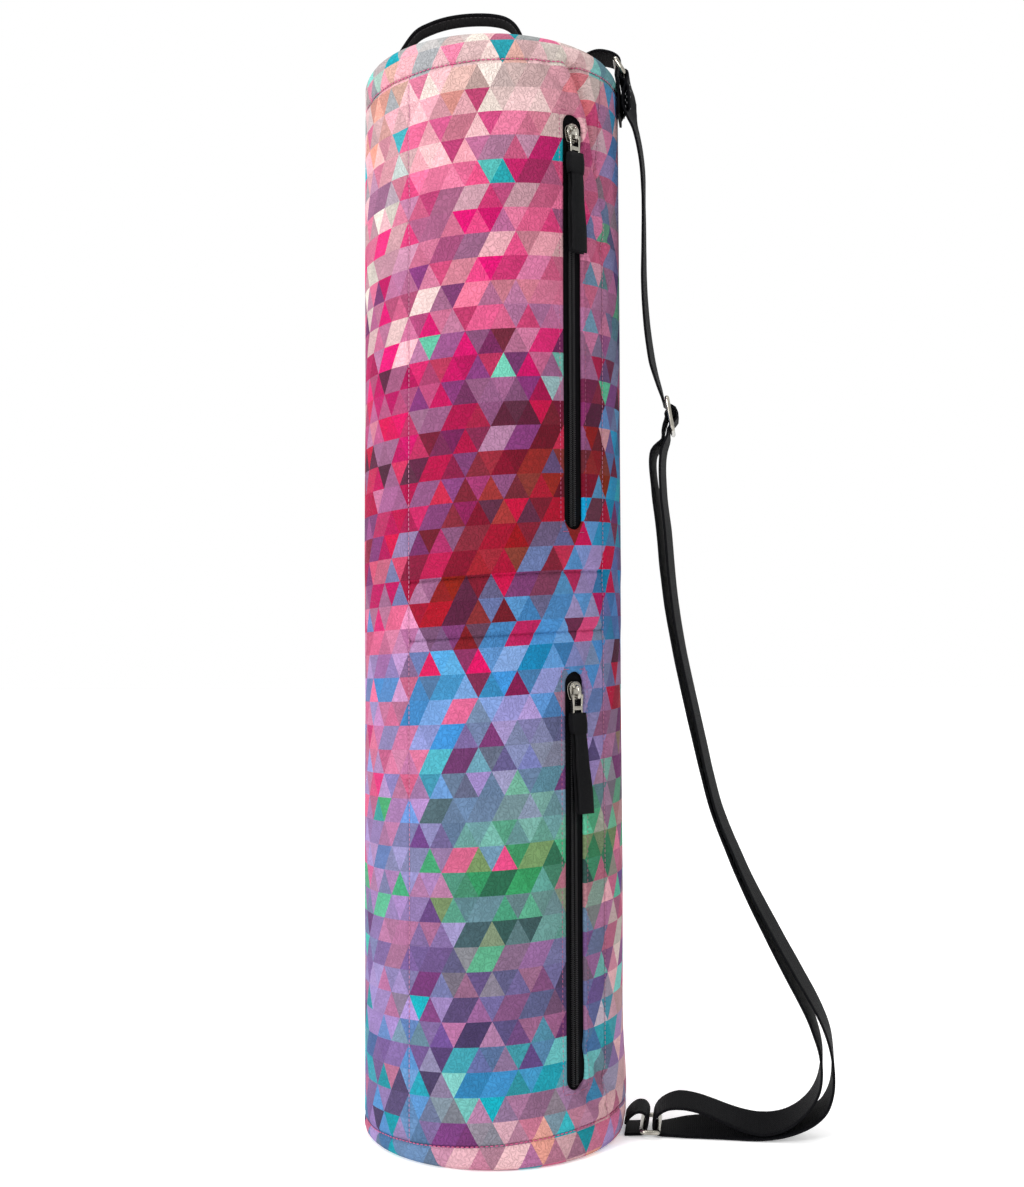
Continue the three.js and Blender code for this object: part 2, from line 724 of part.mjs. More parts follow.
// The cloth tube
add('back_panel', panel(panelRight, panelLeft + 360, 36, 12, bottomSeam, topSeam), printedCloth);
add('upper_pocket_panel', cutSlot(panel(panelLeft, panelRight, 18, pocketRows, pocketSeamHigh, topSeam), upperSlot), printedCloth);
add('middle_panel', panel(panelLeft, panelRight, 18, 3, pocketSeamLow, pocketSeamHigh), printedCloth);
add('lower_pocket_panel', cutSlot(panel(panelLeft, panelRight, 18, pocketRows, bottomSeam, pocketSeamLow), lowerSlot), printedCloth);
add('top_band', rolledBand(topSeam, shoulderRoll, 6, true), printedCloth);
add('bottom_band', rolledBand(bottomSeam, baseRoll, 5, false), printedCloth);
add('lid', disc(bagRadius - shoulderRoll - clearance, bagHeight - clothWall, clothWall), printedCloth);
add('base', disc(bagRadius - baseRoll - clearance, 0, clothWall), printedCloth);
add('grab_handle', grabHandle(), blackWebbing);

// The two zips, in a frame that looks out from the bag at their azimuth
const zipSide = new THREE.Group();
zipSide.rotation.z = rad(zipAzimuth - 90);
bag.add(zipSide);

const zips = [
  { name: 'upper', slot: upperSlot, lean: 4.5 },
  { name: 'lower', slot: lowerSlot, lean: 8 },
];
for (const { name, slot, lean } of zips) {
  const sliderPlace = new THREE.Group();
  const middle = slot.top - sliderDrop - sliderLength / 2;
  sliderPlace.position.set(tapeFace + clearance, 0, middle);
  zipSide.add(sliderPlace);
  const pinPlace = new THREE.Group();
  const pinOut = sliderThickness + (bridgeReach - bridgeWall) / 2;
  pinPlace.position.set(pinOut, 0, -sliderLength / 2 + bridgeFoot + bridgeWall + clearance + pullThickness / 2);
  sliderPlace.add(pinPlace);
  add(`${name}_zip_tape`, zipTape(slot), blackWebbing);
  add(`${name}_zip_coil`, zipCoil(slot), coilPlastic, zipSide);
  add(`${name}_zip_slider`, zipSlider(), nickel, sliderPlace);
  add(`${name}_zip_pull`, zipPull(), nickel, pinPlace);
  add(`${name}_pull_ribbon`, pullRibbon(lean), blackWebbing, pinPlace);
}

// The strap, its tabs and its metalwork, in the upright plane at the strap's azimuth
const strapSide = new THREE.Group();
strapSide.rotation.z = rad(strapAzimuth - 90);
bag.add(strapSide);

add('upper_tab', upperTab(), blackWebbing, strapSide);
add('lower_tab', lowerTab(), blackWebbing, strapSide);
add('shoulder_strap', shoulderStrap(), blackWebbing, strapSide);

const upperRing = add('upper_ring', wireRing(ringDepth, ringWidth, ringCorner), nickel, strapSide);
upperRing.position.set((upperBar.x + strapBar.x) / 2, 0, (upperBar.z + strapBar.z) / 2);
upperRing.rotation.y = Math.atan2(upperBar.z - strapBar.z, strapBar.x - upperBar.x);
const lowerRing = add('lower_ring', wireRing(ringDepth, ringWidth, ringCorner), nickel, strapSide);
lowerRing.position.set((lowerRingLeft.x + lowerRingRight.x) / 2, 0, lowerRingLeft.z);

const glide = add('tri_glide', triGlide(), nickel, strapSide);
glide.position.set(glideCentre.x, 0, glideCentre.z);
glide.rotation.y = -rad(glideCentre.lean);

export default bag;
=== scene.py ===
import math

import bmesh
import bpy
from mathutils import Matrix, Vector, noise


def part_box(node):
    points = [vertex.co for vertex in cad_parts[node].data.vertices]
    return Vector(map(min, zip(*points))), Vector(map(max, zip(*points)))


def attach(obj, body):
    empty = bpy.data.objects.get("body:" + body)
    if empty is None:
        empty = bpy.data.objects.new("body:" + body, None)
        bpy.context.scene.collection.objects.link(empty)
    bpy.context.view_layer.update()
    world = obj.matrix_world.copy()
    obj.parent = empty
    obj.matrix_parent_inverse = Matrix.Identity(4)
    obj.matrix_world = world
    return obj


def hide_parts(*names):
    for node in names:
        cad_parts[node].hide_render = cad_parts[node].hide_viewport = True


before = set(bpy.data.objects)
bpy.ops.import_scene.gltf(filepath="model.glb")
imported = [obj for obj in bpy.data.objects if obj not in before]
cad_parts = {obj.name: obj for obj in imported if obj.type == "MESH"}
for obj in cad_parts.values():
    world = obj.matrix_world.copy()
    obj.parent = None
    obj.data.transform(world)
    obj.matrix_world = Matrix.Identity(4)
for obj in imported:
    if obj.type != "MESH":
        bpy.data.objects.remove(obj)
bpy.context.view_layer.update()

mm = 0.001

# Sizes read from the frame, and the rolls at both ends of the tube
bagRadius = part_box("top_band")[1].x
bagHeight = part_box("lid")[1].z
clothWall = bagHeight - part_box("lid")[0].z
shoulderRoll = 11 * mm
baseRoll = 5.5 * mm

# Seams: height at the middle of the front, and climb to the right. Sides are azimuths in degrees
topSeam = {"height": bagHeight - 19.3 * mm, "rise": 0.062}
pocketSeamHigh = {"height": 346.5 * mm, "rise": 0.065}
pocketSeamLow = {"height": 311 * mm, "rise": 0.06}
bottomSeam = {"height": 15.3 * mm, "rise": 0.072}
panelLeft = -37
panelRight = 56

# Slots: lowest and highest point. They are 3 mm wider than in the solids, and the zips sit
# further round, along the line that the pulls hinge on
zipAzimuth = 36
slotWidth = 15 * mm
zipAside = 1.6 * mm
slots = {"upper": (375 * mm, 628 * mm), "lower": (42 * mm, 290 * mm)}


# Camera and light

cameraSetup = {"sensor": 36, "focalPixels": 1374.5, "framePixels": 1187, "nearClip": 0.05,
               "place": (12.26 * mm, -890.2 * mm, 308 * mm), "pitch": 92, "roll": -0.003}
lamps = {
    "key_light": {"place": (-1.3, -1.4, 1.0), "size": 0.5, "power": 24},
    "top_light": {"place": (-0.3, -0.2, 1.9), "size": 0.6, "power": 12},
}
lampAim = (0, 0, 0.34)


def placeCamera(setup):
    camera = bpy.data.cameras.new("camera")
    camera.sensor_width = setup["sensor"]
    camera.lens = setup["focalPixels"] / setup["framePixels"] * setup["sensor"]
    camera.clip_start = setup["nearClip"]
    eye = bpy.data.objects.new("camera", camera)
    pitch = Matrix.Rotation(math.radians(setup["pitch"]), 4, "X")
    eye.matrix_world = Matrix.Translation(setup["place"]) @ pitch @ Matrix.Rotation(setup["roll"], 4, "Z")
    bpy.context.scene.collection.objects.link(eye)
    bpy.context.scene.camera = eye


def areaLight(name, setup):
    light = bpy.data.lights.new(name, "AREA")
    light.shape = "DISK"
    light.size = setup["size"]
    light.energy = setup["power"]
    lamp = bpy.data.objects.new(name, light)
    lamp.location = setup["place"]
    aim = Vector(lampAim) - Vector(setup["place"])
    lamp.rotation_euler = aim.to_track_quat("-Z", "Y").to_euler()
    bpy.context.scene.collection.objects.link(lamp)


def lightStudio():
    world = bpy.data.worlds.new("studio")
    world.use_nodes = True
    backdrop = world.node_tree.nodes["Background"]
    backdrop.inputs["Color"].default_value = (1, 1, 1, 1)
    backdrop.inputs["Strength"].default_value = 1.0
    bpy.context.scene.world = world
    for name, setup in lamps.items():
        areaLight(name, setup)
    bpy.context.scene.view_settings.view_transform = "Standard"


# Materials

def rgb(code):
    parts = [int(code[k:k + 2], 16) / 255 for k in (1, 3, 5)]
    linear = [p / 12.92 if p <= 0.04045 else ((p + 0.055) / 1.055) ** 2.4 for p in parts]
    return (*linear, 1)


def greyLevel(level):
    return (level, level, level, 1)


def newMaterial(name, roughness, metallic=0.0, sheen=0.0, shine=0.5):
    material = bpy.data.materials.new(name)
    material.use_nodes = True
    tree = material.node_tree
    shader = tree.nodes["Principled BSDF"]
    shader.inputs["Roughness"].default_value = roughness
    shader.inputs["Metallic"].default_value = metallic
    shader.inputs["Sheen Weight"].default_value = sheen
    shader.inputs["Specular IOR Level"].default_value = shine
    return material, tree, shader


def feed(tree, socket, value):
    if isinstance(value, Field):
        tree.links.new(value.socket, socket)
    else:
        socket.default_value = value


class Field:
    # A value in a material's tree: a sum written with it adds the Math nodes
    def __init__(self, tree, socket):
        self.tree = tree
        self.socket = socket

    def calc(self, operation, first, second=0.0):
        made = self.tree.nodes.new("ShaderNodeMath")
        made.operation = operation
        feed(self.tree, made.inputs[0], first)
        feed(self.tree, made.inputs[1], second)
        return Field(self.tree, made.outputs[0])

    def __add__(self, other):
        return self.calc("ADD", self, other)

    def __sub__(self, other):
        return self.calc("SUBTRACT", self, other)

    def __rsub__(self, other):
        return self.calc("SUBTRACT", other, self)

    def __mul__(self, other):
        return self.calc("MULTIPLY", self, other)

    def __truediv__(self, other):
        return self.calc("DIVIDE", self, other)

    def __mod__(self, other):
        return self.calc("FLOORED_MODULO", self, other)

    def __gt__(self, other):
        return self.calc("GREATER_THAN", self, other)

    def __lt__(self, other):
        return self.calc("LESS_THAN", self, other)

    def floor(self):
        return self.calc("FLOOR", self)

    def fract(self):
        return self.calc("FRACT", self)

    def size(self):
        return self.calc("ABSOLUTE", self)

    def sine(self):
        return self.calc("SINE", self)

    def atMost(self, limit):
        return self.calc("MINIMUM", self, limit)

    def atLeast(self, limit):
        return self.calc("MAXIMUM", self, limit)


def blendColour(tree, factor, first, second, mode="MIX"):
    made = tree.nodes.new("ShaderNodeMix")
    made.data_type = "RGBA"
    made.blend_type = mode
    for k, value in ((0, factor), (6, first), (7, second)):
        feed(tree, made.inputs[k], value)
    return Field(tree, made.outputs[2])


def joinVector(tree, x, y, z=0.0):
    made = tree.nodes.new("ShaderNodeCombineXYZ")
    for k, value in enumerate((x, y, z)):
        feed(tree, made.inputs[k], value)
    return Field(tree, made.outputs[0])


def splitVector(tree, vector):
    made = tree.nodes.new("ShaderNodeSeparateXYZ")
    feed(tree, made.inputs[0], vector)
    return [Field(tree, output) for output in made.outputs]


def clothPlace(tree):
    made = tree.nodes.new("ShaderNodeUVMap")
    made.uv_map = "cloth"
    return Field(tree, made.outputs[0])


def objectPlace(tree):
    return Field(tree, tree.nodes.new("ShaderNodeTexCoord").outputs["Object"])


def noiseTexture(tree, vector, scale, detail=2.0, distortion=0.0):
    made = tree.nodes.new("ShaderNodeTexNoise")
    feed(tree, made.inputs["Vector"], vector)
    made.inputs["Scale"].default_value = scale
    made.inputs["Detail"].default_value = detail
    made.inputs["Distortion"].default_value = distortion
    return Field(tree, made.outputs[0])


def ramp(tree, factor, *stops):
    made = tree.nodes.new("ShaderNodeValToRGB")
    elements = made.color_ramp.elements
    while len(elements) < len(stops):
        elements.new(0.5)
    for element, (place, colour) in zip(elements, stops):
        element.position = place
        element.color = colour
    feed(tree, made.inputs[0], factor)
    return Field(tree, made.outputs[0])


def addBump(tree, shader, height, distance, strength):
    made = tree.nodes.new("ShaderNodeBump")
    made.inputs["Strength"].default_value = strength
    made.inputs["Distance"].default_value = distance
    feed(tree, made.inputs["Height"], height)
    tree.links.new(made.outputs[0], shader.inputs["Normal"])


# The print: rows of small triangles. Its colours change in zones up the bag
trianglesRound = 34
printRise = 0.063
triangleBase = 2 * math.pi * bagRadius / trianglesRound
triangleRise = 14.5 * mm
dyes = {
    "cream": "#f4e8de", "blush": "#f8c8cc", "peach": "#f6ac9c", "rose": "#f086a8", "pink": "#ea5088",
    "magenta": "#c82c68", "crimson": "#cc2048", "maroon": "#842838", "rust": "#94402f", "wine": "#602844",
    "plum": "#84407a", "mauve": "#b87ca2", "lilac": "#b49cd4", "violet": "#785a98", "night": "#584a74",
    "slate": "#7890b0", "smoke": "#94929e", "grey": "#c0c4c4", "azure": "#609cd8", "sky": "#38aade",
    "teal": "#40b8c8", "aqua": "#94dcd4", "mint": "#70c8a0", "green": "#40a468", "forest": "#2c7050",
    "olive": "#84a068",
}

# Zones: height as a share of the bag's, then dyes in the order of how much they cover
frontBands = [
    (0.00, "rose blush peach smoke teal"), (0.03, "smoke mauve slate plum teal"),
    (0.08, "teal slate sky violet aqua"), (0.14, "violet mauve plum night teal"),
    (0.19, "slate violet smoke night mint"), (0.25, "green mint olive forest rose"),
    (0.30, "mint slate green violet pink"), (0.35, "lilac slate violet plum teal"),
    (0.40, "azure lilac slate plum pink"), (0.45, "azure sky lilac maroon pink"),
    (0.49, "azure maroon sky plum crimson"), (0.53, "maroon rust crimson wine sky"),
    (0.59, "maroon crimson rust wine plum"), (0.64, "maroon plum crimson wine mauve"),
    (0.70, "plum mauve magenta maroon aqua"), (0.75, "mauve rose pink plum mint"),
    (0.82, "rose pink blush mauve mint"), (0.88, "rose pink mauve magenta teal"),
    (0.92, "rose blush pink peach teal"), (0.96, "blush cream peach grey teal"),
    (1.00, "cream blush grey rose teal"),
]
leftBands = [
    (0.00, "slate lilac teal night rose"), (0.08, "azure violet teal night mauve"),
    (0.15, "violet lilac mauve plum teal"), (0.23, "lilac slate mauve violet mint"),
    (0.30, "mauve lilac azure rose green"), (0.36, "rose mauve lilac pink azure"),
    (0.43, "lilac rose azure mauve aqua"), (0.48, "rose mauve pink crimson azure"),
    (0.55, "crimson plum magenta wine mauve"), (0.64, "magenta mauve crimson wine rose"),
    (0.71, "mauve magenta pink wine blush"), (0.79, "rose mauve pink plum cream"),
    (0.87, "rose blush pink mauve cream"), (0.93, "blush peach rose grey teal"),
    (1.00, "grey aqua blush smoke teal"),
]
rightBands = [
    (0.00, "blush lilac rose smoke teal"), (0.10, "blush grey lilac smoke teal"),
    (0.16, "blush rose cream mauve aqua"), (0.21, "rose mauve blush violet aqua"),
    (0.27, "mauve mint rose violet green"), (0.33, "smoke mauve mint plum rose"),
    (0.40, "plum mauve crimson wine aqua"), (0.46, "plum azure crimson wine sky"),
    (0.51, "azure violet sky plum crimson"), (0.57, "sky azure teal plum crimson"),
    (0.63, "azure violet sky maroon rose"), (0.69, "plum slate magenta wine mint"),
    (0.75, "slate mauve mint night aqua"), (0.81, "mint mauve slate violet rose"),
    (0.87, "mauve rose lilac slate azure"), (0.93, "azure mauve teal night blush"),
    (0.97, "teal slate aqua night peach"), (1.00, "grey blush slate teal aqua"),
]
dyeShares = [0.34, 0.28, 0.18, 0.11, 0.09]  # how much of a zone each of its dyes covers
printLook = {
    "joined": 0.3,  # share of triangles that make a diamond with their neighbour
    "driftScale": 10.0, "driftUp": 0.08, "scatterUp": 0.05,  # how far zones wander up the bag
    "driftRound": 5.0, "scatterRound": 1.5,  # and round it, in triangles
    "rightStart": 46, "rightTriangles": 13.5,  # azimuth where the right side's zones begin, their width
    "leanAt": 0.54, "leanReach": 0.17, "lean": 0.2,  # where and how much the front's zones lean
    "tone": 0.44, "toneSpread": 0.32, "depth": 0.98, "depthSpread": 0.16,
    "crepeScale": 380.0, "crepeSteep": 9.0, "grainScale": 1500.0, "crepeHeight": 0.6 * mm, "washScale": 90.0,
}


def bandColour(tree, height, choice, bands):
    colour = None
    reached = 0.0
    for place, share in enumerate(dyeShares):
        column = ramp(tree, height, *[(at, rgb(dyes[names.split()[place]])) for at, names in bands])
        colour = blendColour(tree, choice > reached, colour, column) if colour else column
        reached += share
    return colour


def printedCloth(name, look):
    material, tree, shader = newMaterial(name, 0.9, shine=0.2)
    place = clothPlace(tree)
    u, v, _ = splitVector(tree, place)
    row = v / triangleRise
    skew = u / triangleBase - row * 0.5
    rowCell = row.floor()
    skewCell = skew.floor()
    pointsDown = row.fract() + skew.fract() > 1.0
    around = skewCell % trianglesRound

    def pick(turned, output):
        cell = tree.nodes.new("ShaderNodeTexWhiteNoise")
        cell.noise_dimensions = "3D"
        feed(tree, cell.inputs["Vector"], joinVector(tree, around, rowCell, turned))
        return Field(tree, cell.outputs[output])

    # Some neighbours share a colour and make larger diamonds
    joined = pick(7.0, "Value") < look["joined"]
    parity = pointsDown * (1.0 - joined)
    redChance, greenChance, blueChance = splitVector(tree, pick(parity, "Color"))

    # Where the triangle sits: up the bag, and round it from the front's left stitch line
    across = (skewCell + rowCell * 0.5) % trianglesRound
    cellPlace = joinVector(tree, across * triangleBase, rowCell * triangleRise)
    drift = noiseTexture(tree, cellPlace, look["driftScale"]) - 0.5
    scatter = greenChance - 0.5
    height = (rowCell + 0.5) / (bagHeight / triangleRise)
    height = height + drift * look["driftUp"] + scatter * look["scatterUp"]
    turn = across + -panelLeft / 360 * trianglesRound
    turn = (turn + drift * look["driftRound"] + scatter * look["scatterRound"]) % trianglesRound

    # Near the middle of the bag the front's blue zones reach higher on the right than on the left
    frontEnd = (look["rightStart"] - panelLeft) / 360 * trianglesRound
    sideways = (turn / frontEnd).atMost(1.0)
    near = (1.0 - (height - look["leanAt"]).size() / look["leanReach"]).atLeast(0.0)
    leaning = (sideways - 0.5) * (near * look["lean"])
    front = bandColour(tree, height - leaning, redChance, frontBands)
    left = bandColour(tree, height, redChance, leftBands)
    right = bandColour(tree, height, redChance, rightBands)
    colour = blendColour(tree, turn > frontEnd, front, right)
    colour = blendColour(tree, turn > frontEnd + look["rightTriangles"], colour, left)

    # Each triangle is a little lighter or darker
    tone = tree.nodes.new("ShaderNodeHueSaturation")
    feed(tree, tone.inputs["Value"], blueChance * look["toneSpread"] + look["tone"])
    feed(tree, tone.inputs["Saturation"], greenChance * look["depthSpread"] + look["depth"])
    feed(tree, tone.inputs["Color"], colour)
    printAndShade = Field(tree, tone.outputs[0])

    # Crepe: squirming ridges about a millimetre and a half apart, with painted shade that darkens the print in
    # their creases, and a dye that is not quite even
    squirm = noiseTexture(tree, place, look["crepeScale"], 1.5, 0.6)
    ridge = ((squirm - 0.5).size() * look["crepeSteep"]).atMost(1.0)
    relief = ridge + noiseTexture(tree, place, look["grainScale"]) * 0.5
    # Painted shade: the print darkens to 0.78 in the crepe's creases, where its bump is low
    crepeShade = ramp(tree, relief, (0.15, greyLevel(0.78)), (1.1 / 1.5, greyLevel(1)))
    printAndShade = blendColour(tree, 0.9, printAndShade, crepeShade, "MULTIPLY")
    wash = noiseTexture(tree, place, look["washScale"], 3.0)
    uneven = ramp(tree, wash, (0.3, greyLevel(0.84)), (0.7, greyLevel(1)))
    printAndShade = blendColour(tree, 0.8, printAndShade, uneven, "MULTIPLY")
    feed(tree, shader.inputs["Base Color"], printAndShade)
    addBump(tree, shader, relief, look["crepeHeight"], 0.8)
    return material


wovenLooks = {
    "black_webbing": {"colour": "#050507", "rib": 1.3 * mm, "rough": 0.6, "reliefShade": 0.5, "shine": 0.04},
    "black_ribbon": {"colour": "#060608", "rib": 0.6 * mm, "rough": 0.4, "reliefShade": 0.3, "shine": 0.07},
    "black_zip_tape": {"colour": "#08080a", "rib": 0.8 * mm, "rough": 0.85, "reliefShade": 0.4, "shine": 0.06},
}


def wovenMaterial(name):
    # Webbing: fine ribs across the width and a chevron along it, from the band's own coordinates
    look = wovenLooks[name]
    rib = look["rib"]
    material, tree, shader = newMaterial(name, look["rough"], shine=look["shine"])
    place = clothPlace(tree)
    u, v, _ = splitVector(tree, place)
    ribTurns = 2 * math.pi / rib
    ribs = (v * ribTurns).sine()
    chevron = ((u / (rib * 5)).fract() - 0.5).size()
    weft = ((v + chevron * (rib * 3)) * ribTurns).sine()
    warp = (u * (2 * math.pi / (rib * 0.9))).sine()
    relief = (ribs + weft) * 0.5 + warp * 0.6
    fuzz = noiseTexture(tree, place, 700.0, 3.0)
    # The colour follows the relief: painted highlight on the raised ribs and fuzz, painted shade in the hollows
    level = relief * (0.12 * look["reliefShade"]) + fuzz
    base = rgb(look["colour"])
    light = (*[channel * 1.8 + 0.0015 for channel in base[:3]], 1)
    feed(tree, shader.inputs["Base Color"], ramp(tree, level, (0.35, base), (0.75, light)))
    addBump(tree, shader, relief + fuzz, 0.16 * mm, 0.7)
    return material


threadColours = {"pink": "#c9477f", "pale": "#c4789a", "plum": "#a03c66", "grey": "#9a9a9c", "dark": "#26262a"}


def threadMaterial(name, colour):
    material, tree, shader = newMaterial(name, 0.6, sheen=0.2)
    twist = noiseTexture(tree, objectPlace(tree), 2400.0, 1.0)
    base = rgb(colour)
    dark = (*[channel * 0.7 for channel in base[:3]], 1)
    # Painted shade: the thread is darker where the twist's bump is low
    feed(tree, shader.inputs["Base Color"], ramp(tree, twist, (0.35, dark), (0.65, base)))
    addBump(tree, shader, twist, 0.1 * mm, 0.5)
    return material


# Cloud and grain are a noise's scale and detail, rough is the least roughness and its spread
hardLooks = {
    "nickel": {"metal": 1.0, "colours": ("#7f7b72", "#b2aea4"), "cloud": (160.0, 3.0), "grain": (1900.0, 2.0),
               "rough": (0.14, 0.18), "bump": (0.01 * mm, 0.12)},
    "zip_coil_plastic": {"metal": 0.0, "colours": ("#060608", "#0f0f12"), "cloud": (400.0, 2.0),
                         "grain": (400.0, 2.0), "rough": (0.34, 0.2), "bump": (0.03 * mm, 0.5)},
}


def hardMaterial(name):
    look = hardLooks[name]
    least, spread = look["rough"]
    dark, light = look["colours"]
    material, tree, shader = newMaterial(name, least, metallic=look["metal"])
    place = objectPlace(tree)
    cloud = noiseTexture(tree, place, *look["cloud"])
    feed(tree, shader.inputs["Base Color"], ramp(tree, cloud, (0.3, rgb(dark)), (0.7, rgb(light))))
    feed(tree, shader.inputs["Roughness"], cloud * spread + least)
    addBump(tree, shader, noiseTexture(tree, place, *look["grain"]), *look["bump"])
    return material


def floorMaterial():
    material, tree, shader = newMaterial("white_floor", 0.9)
    cloud = noiseTexture(tree, objectPlace(tree), 3.0)
    pale = ramp(tree, cloud, (0.2, greyLevel(0.94)), (0.8, greyLevel(0.96)))
    feed(tree, shader.inputs["Base Color"], pale)
    shader.inputs["Emission Color"].default_value = (1, 1, 1, 1)
    shader.inputs["Emission Strength"].default_value = 0.3
    return material


# Mesh helpers

def finishPiece(name, bm, material, body="bag", replaced=None):
    bmesh.ops.recalc_face_normals(bm, faces=bm.faces)
    mesh = bpy.data.meshes.new(name)
    bm.to_mesh(mesh)
    bm.free()
    for polygon in mesh.polygons:
        polygon.use_smooth = True
    mesh.materials.append(material)
    piece = bpy.data.objects.new(name, mesh)
    bpy.context.scene.collection.objects.link(piece)
    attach(piece, body)
    replaced = [name] if replaced is None else replaced
    if replaced:
        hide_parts(*replaced)
    return piece


def thicken(piece, thickness, offset=0):
    shell = piece.modifiers.new("thickness", "SOLIDIFY")
    shell.thickness = thickness
    shell.offset = offset


def sheet(bm, columns, rows):
    # A grid: each vertex comes with its shares of the way across and up
    made = bmesh.ops.create_grid(bm, x_segments=columns, y_segments=rows, size=0.5)
    return [(vert, vert.co.x + 0.5, vert.co.y + 0.5) for vert in made["verts"]]


def layUV(bm, spots):
    layer = bm.loops.layers.uv.new("cloth")
    for face in bm.faces:
        for loop in face.loops:
            loop[layer].uv = spots[loop.vert]
    return layer


def layPrint(bm, spots):
    # The rows of the print climb with the seams
    climb = printRise * bagRadius
    return layUV(bm, {vert: (x, z - climb * math.sin(x / bagRadius)) for vert, (x, z) in spots.items()})


def grownVerts(made):
    return [item for item in made["geom"] if isinstance(item, bmesh.types.BMVert)]


def bump(distance, reach):
    return math.exp(-(distance / reach) ** 2)


def steps(low, high, count):
    return [low + (high - low) * k / count for k in range(count + 1)]


def wallPoint(azimuth, radius, z):
    angle = math.radians(azimuth)
    return Vector((radius * math.sin(angle), -radius * math.cos(angle), z))


def wallAzimuth(x):
    return math.degrees(x / bagRadius)


# Broad dents of the wall: centre, reach and depth. Heights are shares of the bag's height,
# depths are shares of its radius, azimuths are degrees
dents = [
    {"azimuth": 45, "height": 0.96, "wide": 5, "tall": 0.012, "depth": 0.028},
    {"azimuth": 52, "height": 0.93, "wide": 5, "tall": 0.026, "depth": 0.034},
    {"azimuth": 58, "height": 0.892, "wide": 6, "tall": 0.03, "depth": 0.034},
    {"azimuth": 68, "height": 0.85, "wide": 8, "tall": 0.034, "depth": 0.026},
    {"azimuth": 50, "height": 0.062, "wide": 8, "tall": 0.02, "depth": 0.018},
    {"azimuth": 78, "height": 0.04, "wide": 26, "tall": 0.04, "depth": -0.026},
    {"azimuth": 15, "height": 0.512, "wide": 60, "tall": 0.01, "depth": 0.012},
    {"azimuth": 15, "height": 0.462, "wide": 60, "tall": 0.01, "depth": 0.012},
]

# Creases: a polyline of azimuths and heights in mm, half width and depth in mm. A ridge stands
# beside the crease on its left
creases = [
    {"path": [(36, 660), (42, 648), (48, 630), (53, 604), (57, 580), (62, 562)], "wide": 3.6, "deep": 5.6},
    {"path": [(24, 654), (31, 645), (37, 639)], "wide": 2.6, "deep": 1.2},
    {"path": [(46, 602), (55, 590), (66, 585)], "wide": 2.8, "deep": 1.2},
    {"path": [(52, 560), (62, 534), (70, 500)], "wide": 3.6, "deep": 1.4},
    {"path": [(44, 66), (52, 48), (60, 36)], "wide": 4.0, "deep": 2.2},
    {"path": [(41, 42), (46, 31), (57, 27)], "wide": 3.0, "deep": 1.5},
    {"path": [(-34, 575), (-22, 600), (-8, 617)], "wide": 8.0, "deep": 0.9},
    {"path": [(-36, 545), (-24, 566), (-6, 590)], "wide": 7.0, "deep": 0.8},
    {"path": [(-50, 610), (-40, 627), (-28, 636)], "wide": 6.0, "deep": 1.0},
    {"path": [(12, 330), (24, 333), (38, 336)], "wide": 3.0, "deep": 0.8},
    {"path": [(-25, 326), (-12, 328), (2, 327)], "wide": 3.0, "deep": 0.6},
]
ridge = {"deep": 0.35, "aside": 2, "wide": 1.4}  # of the crease's depth and width
degreeArc = 1.44  # mm of wall to a degree

# Slack of the cloth: long shallow waves, and puckers beside the seams
slack = {"deep": 0.55, "round": 2.1, "up": 9}
pucker = {"deep": 0.12, "seamDeep": 0.6, "seamReach": 9 * mm, "round": 9, "up": 22}
seamGroove = {"deep": 1.5 * mm, "wide": 1.4 * mm}
sideGroove = {"deep": 0.7 * mm, "wide": 0.9 * mm, "leftShare": 0.3}
slotHem = {"groove": 0.5 * mm, "grooveAt": 3.4 * mm, "grooveWide": 0.8 * mm,
           "roll": 0.35 * mm, "rollAt": 1.6 * mm, "rollWide": 1.2 * mm}


def creaseDepth(azimuth, z):
    depth = 0.0
    here = Vector((azimuth * degreeArc, z / mm))
    for crease in creases:
        points = [Vector((a * degreeArc, h)) for a, h in crease["path"]]
        wide = crease["wide"]
        best = math.inf
        side = 0.0
        for start, end in zip(points, points[1:]):
            along = end - start
            share = max(0.0, min(1.0, (here - start).dot(along) / along.length_squared))
            offset = here - (start + along * share)
            if offset.length < best:
                best = offset.length
                side = along.x * offset.y - along.y * offset.x
        if best < wide * 5:
            depth += crease["deep"] * bump(best, wide) * mm
            if side < 0:
                beside = bump(best - ridge["aside"] * wide, wide * ridge["wide"])
                depth -= ridge["deep"] * crease["deep"] * beside * mm
    return depth


def seamZ(seam, azimuth):
    return seam["height"] + seam["rise"] * bagRadius * math.sin(math.radians(azimuth))


def skinRadius(azimuth, z):
    depth = 0.0
    for dent in dents:
        turn = (azimuth - dent["azimuth"] + 540) % 360 - 180
        across = turn / dent["wide"]
        along = (z / bagHeight - dent["height"]) / dent["tall"]
        depth += dent["depth"] * bagRadius * math.exp(-(across * across + along * along))
    depth += creaseDepth((azimuth + 180) % 360 - 180, z)
    angle = math.radians(azimuth)
    wave = Vector((math.sin(angle) * slack["round"], math.cos(angle) * slack["round"], z * slack["up"]))
    depth += slack["deep"] * mm * noise.noise(wave)
    seams = (topSeam, pocketSeamHigh, pocketSeamLow, bottomSeam)
    nearSeam = max(bump(z - seamZ(seam, azimuth), pucker["seamReach"]) for seam in seams)
    gather = Vector((math.sin(angle) * pucker["round"], math.cos(angle) * pucker["round"], z * pucker["up"]))
    depth += (pucker["deep"] + pucker["seamDeep"] * nearSeam) * mm * noise.noise(gather)
    # The wall is true to size at both rolls
    free = (bagHeight - shoulderRoll - z) / (4 * mm)
    ends = min(1.0, max(0.0, (z - baseRoll) / baseRoll), max(0.0, free))
    return bagRadius - depth * ends


def skinLine(places, sink=0.0):
    return [wallPoint(azimuth, skinRadius(azimuth, z) - sink, z) for azimuth, z in places]


def seamDip(distance):
    return seamGroove["deep"] * bump(distance, seamGroove["wide"])


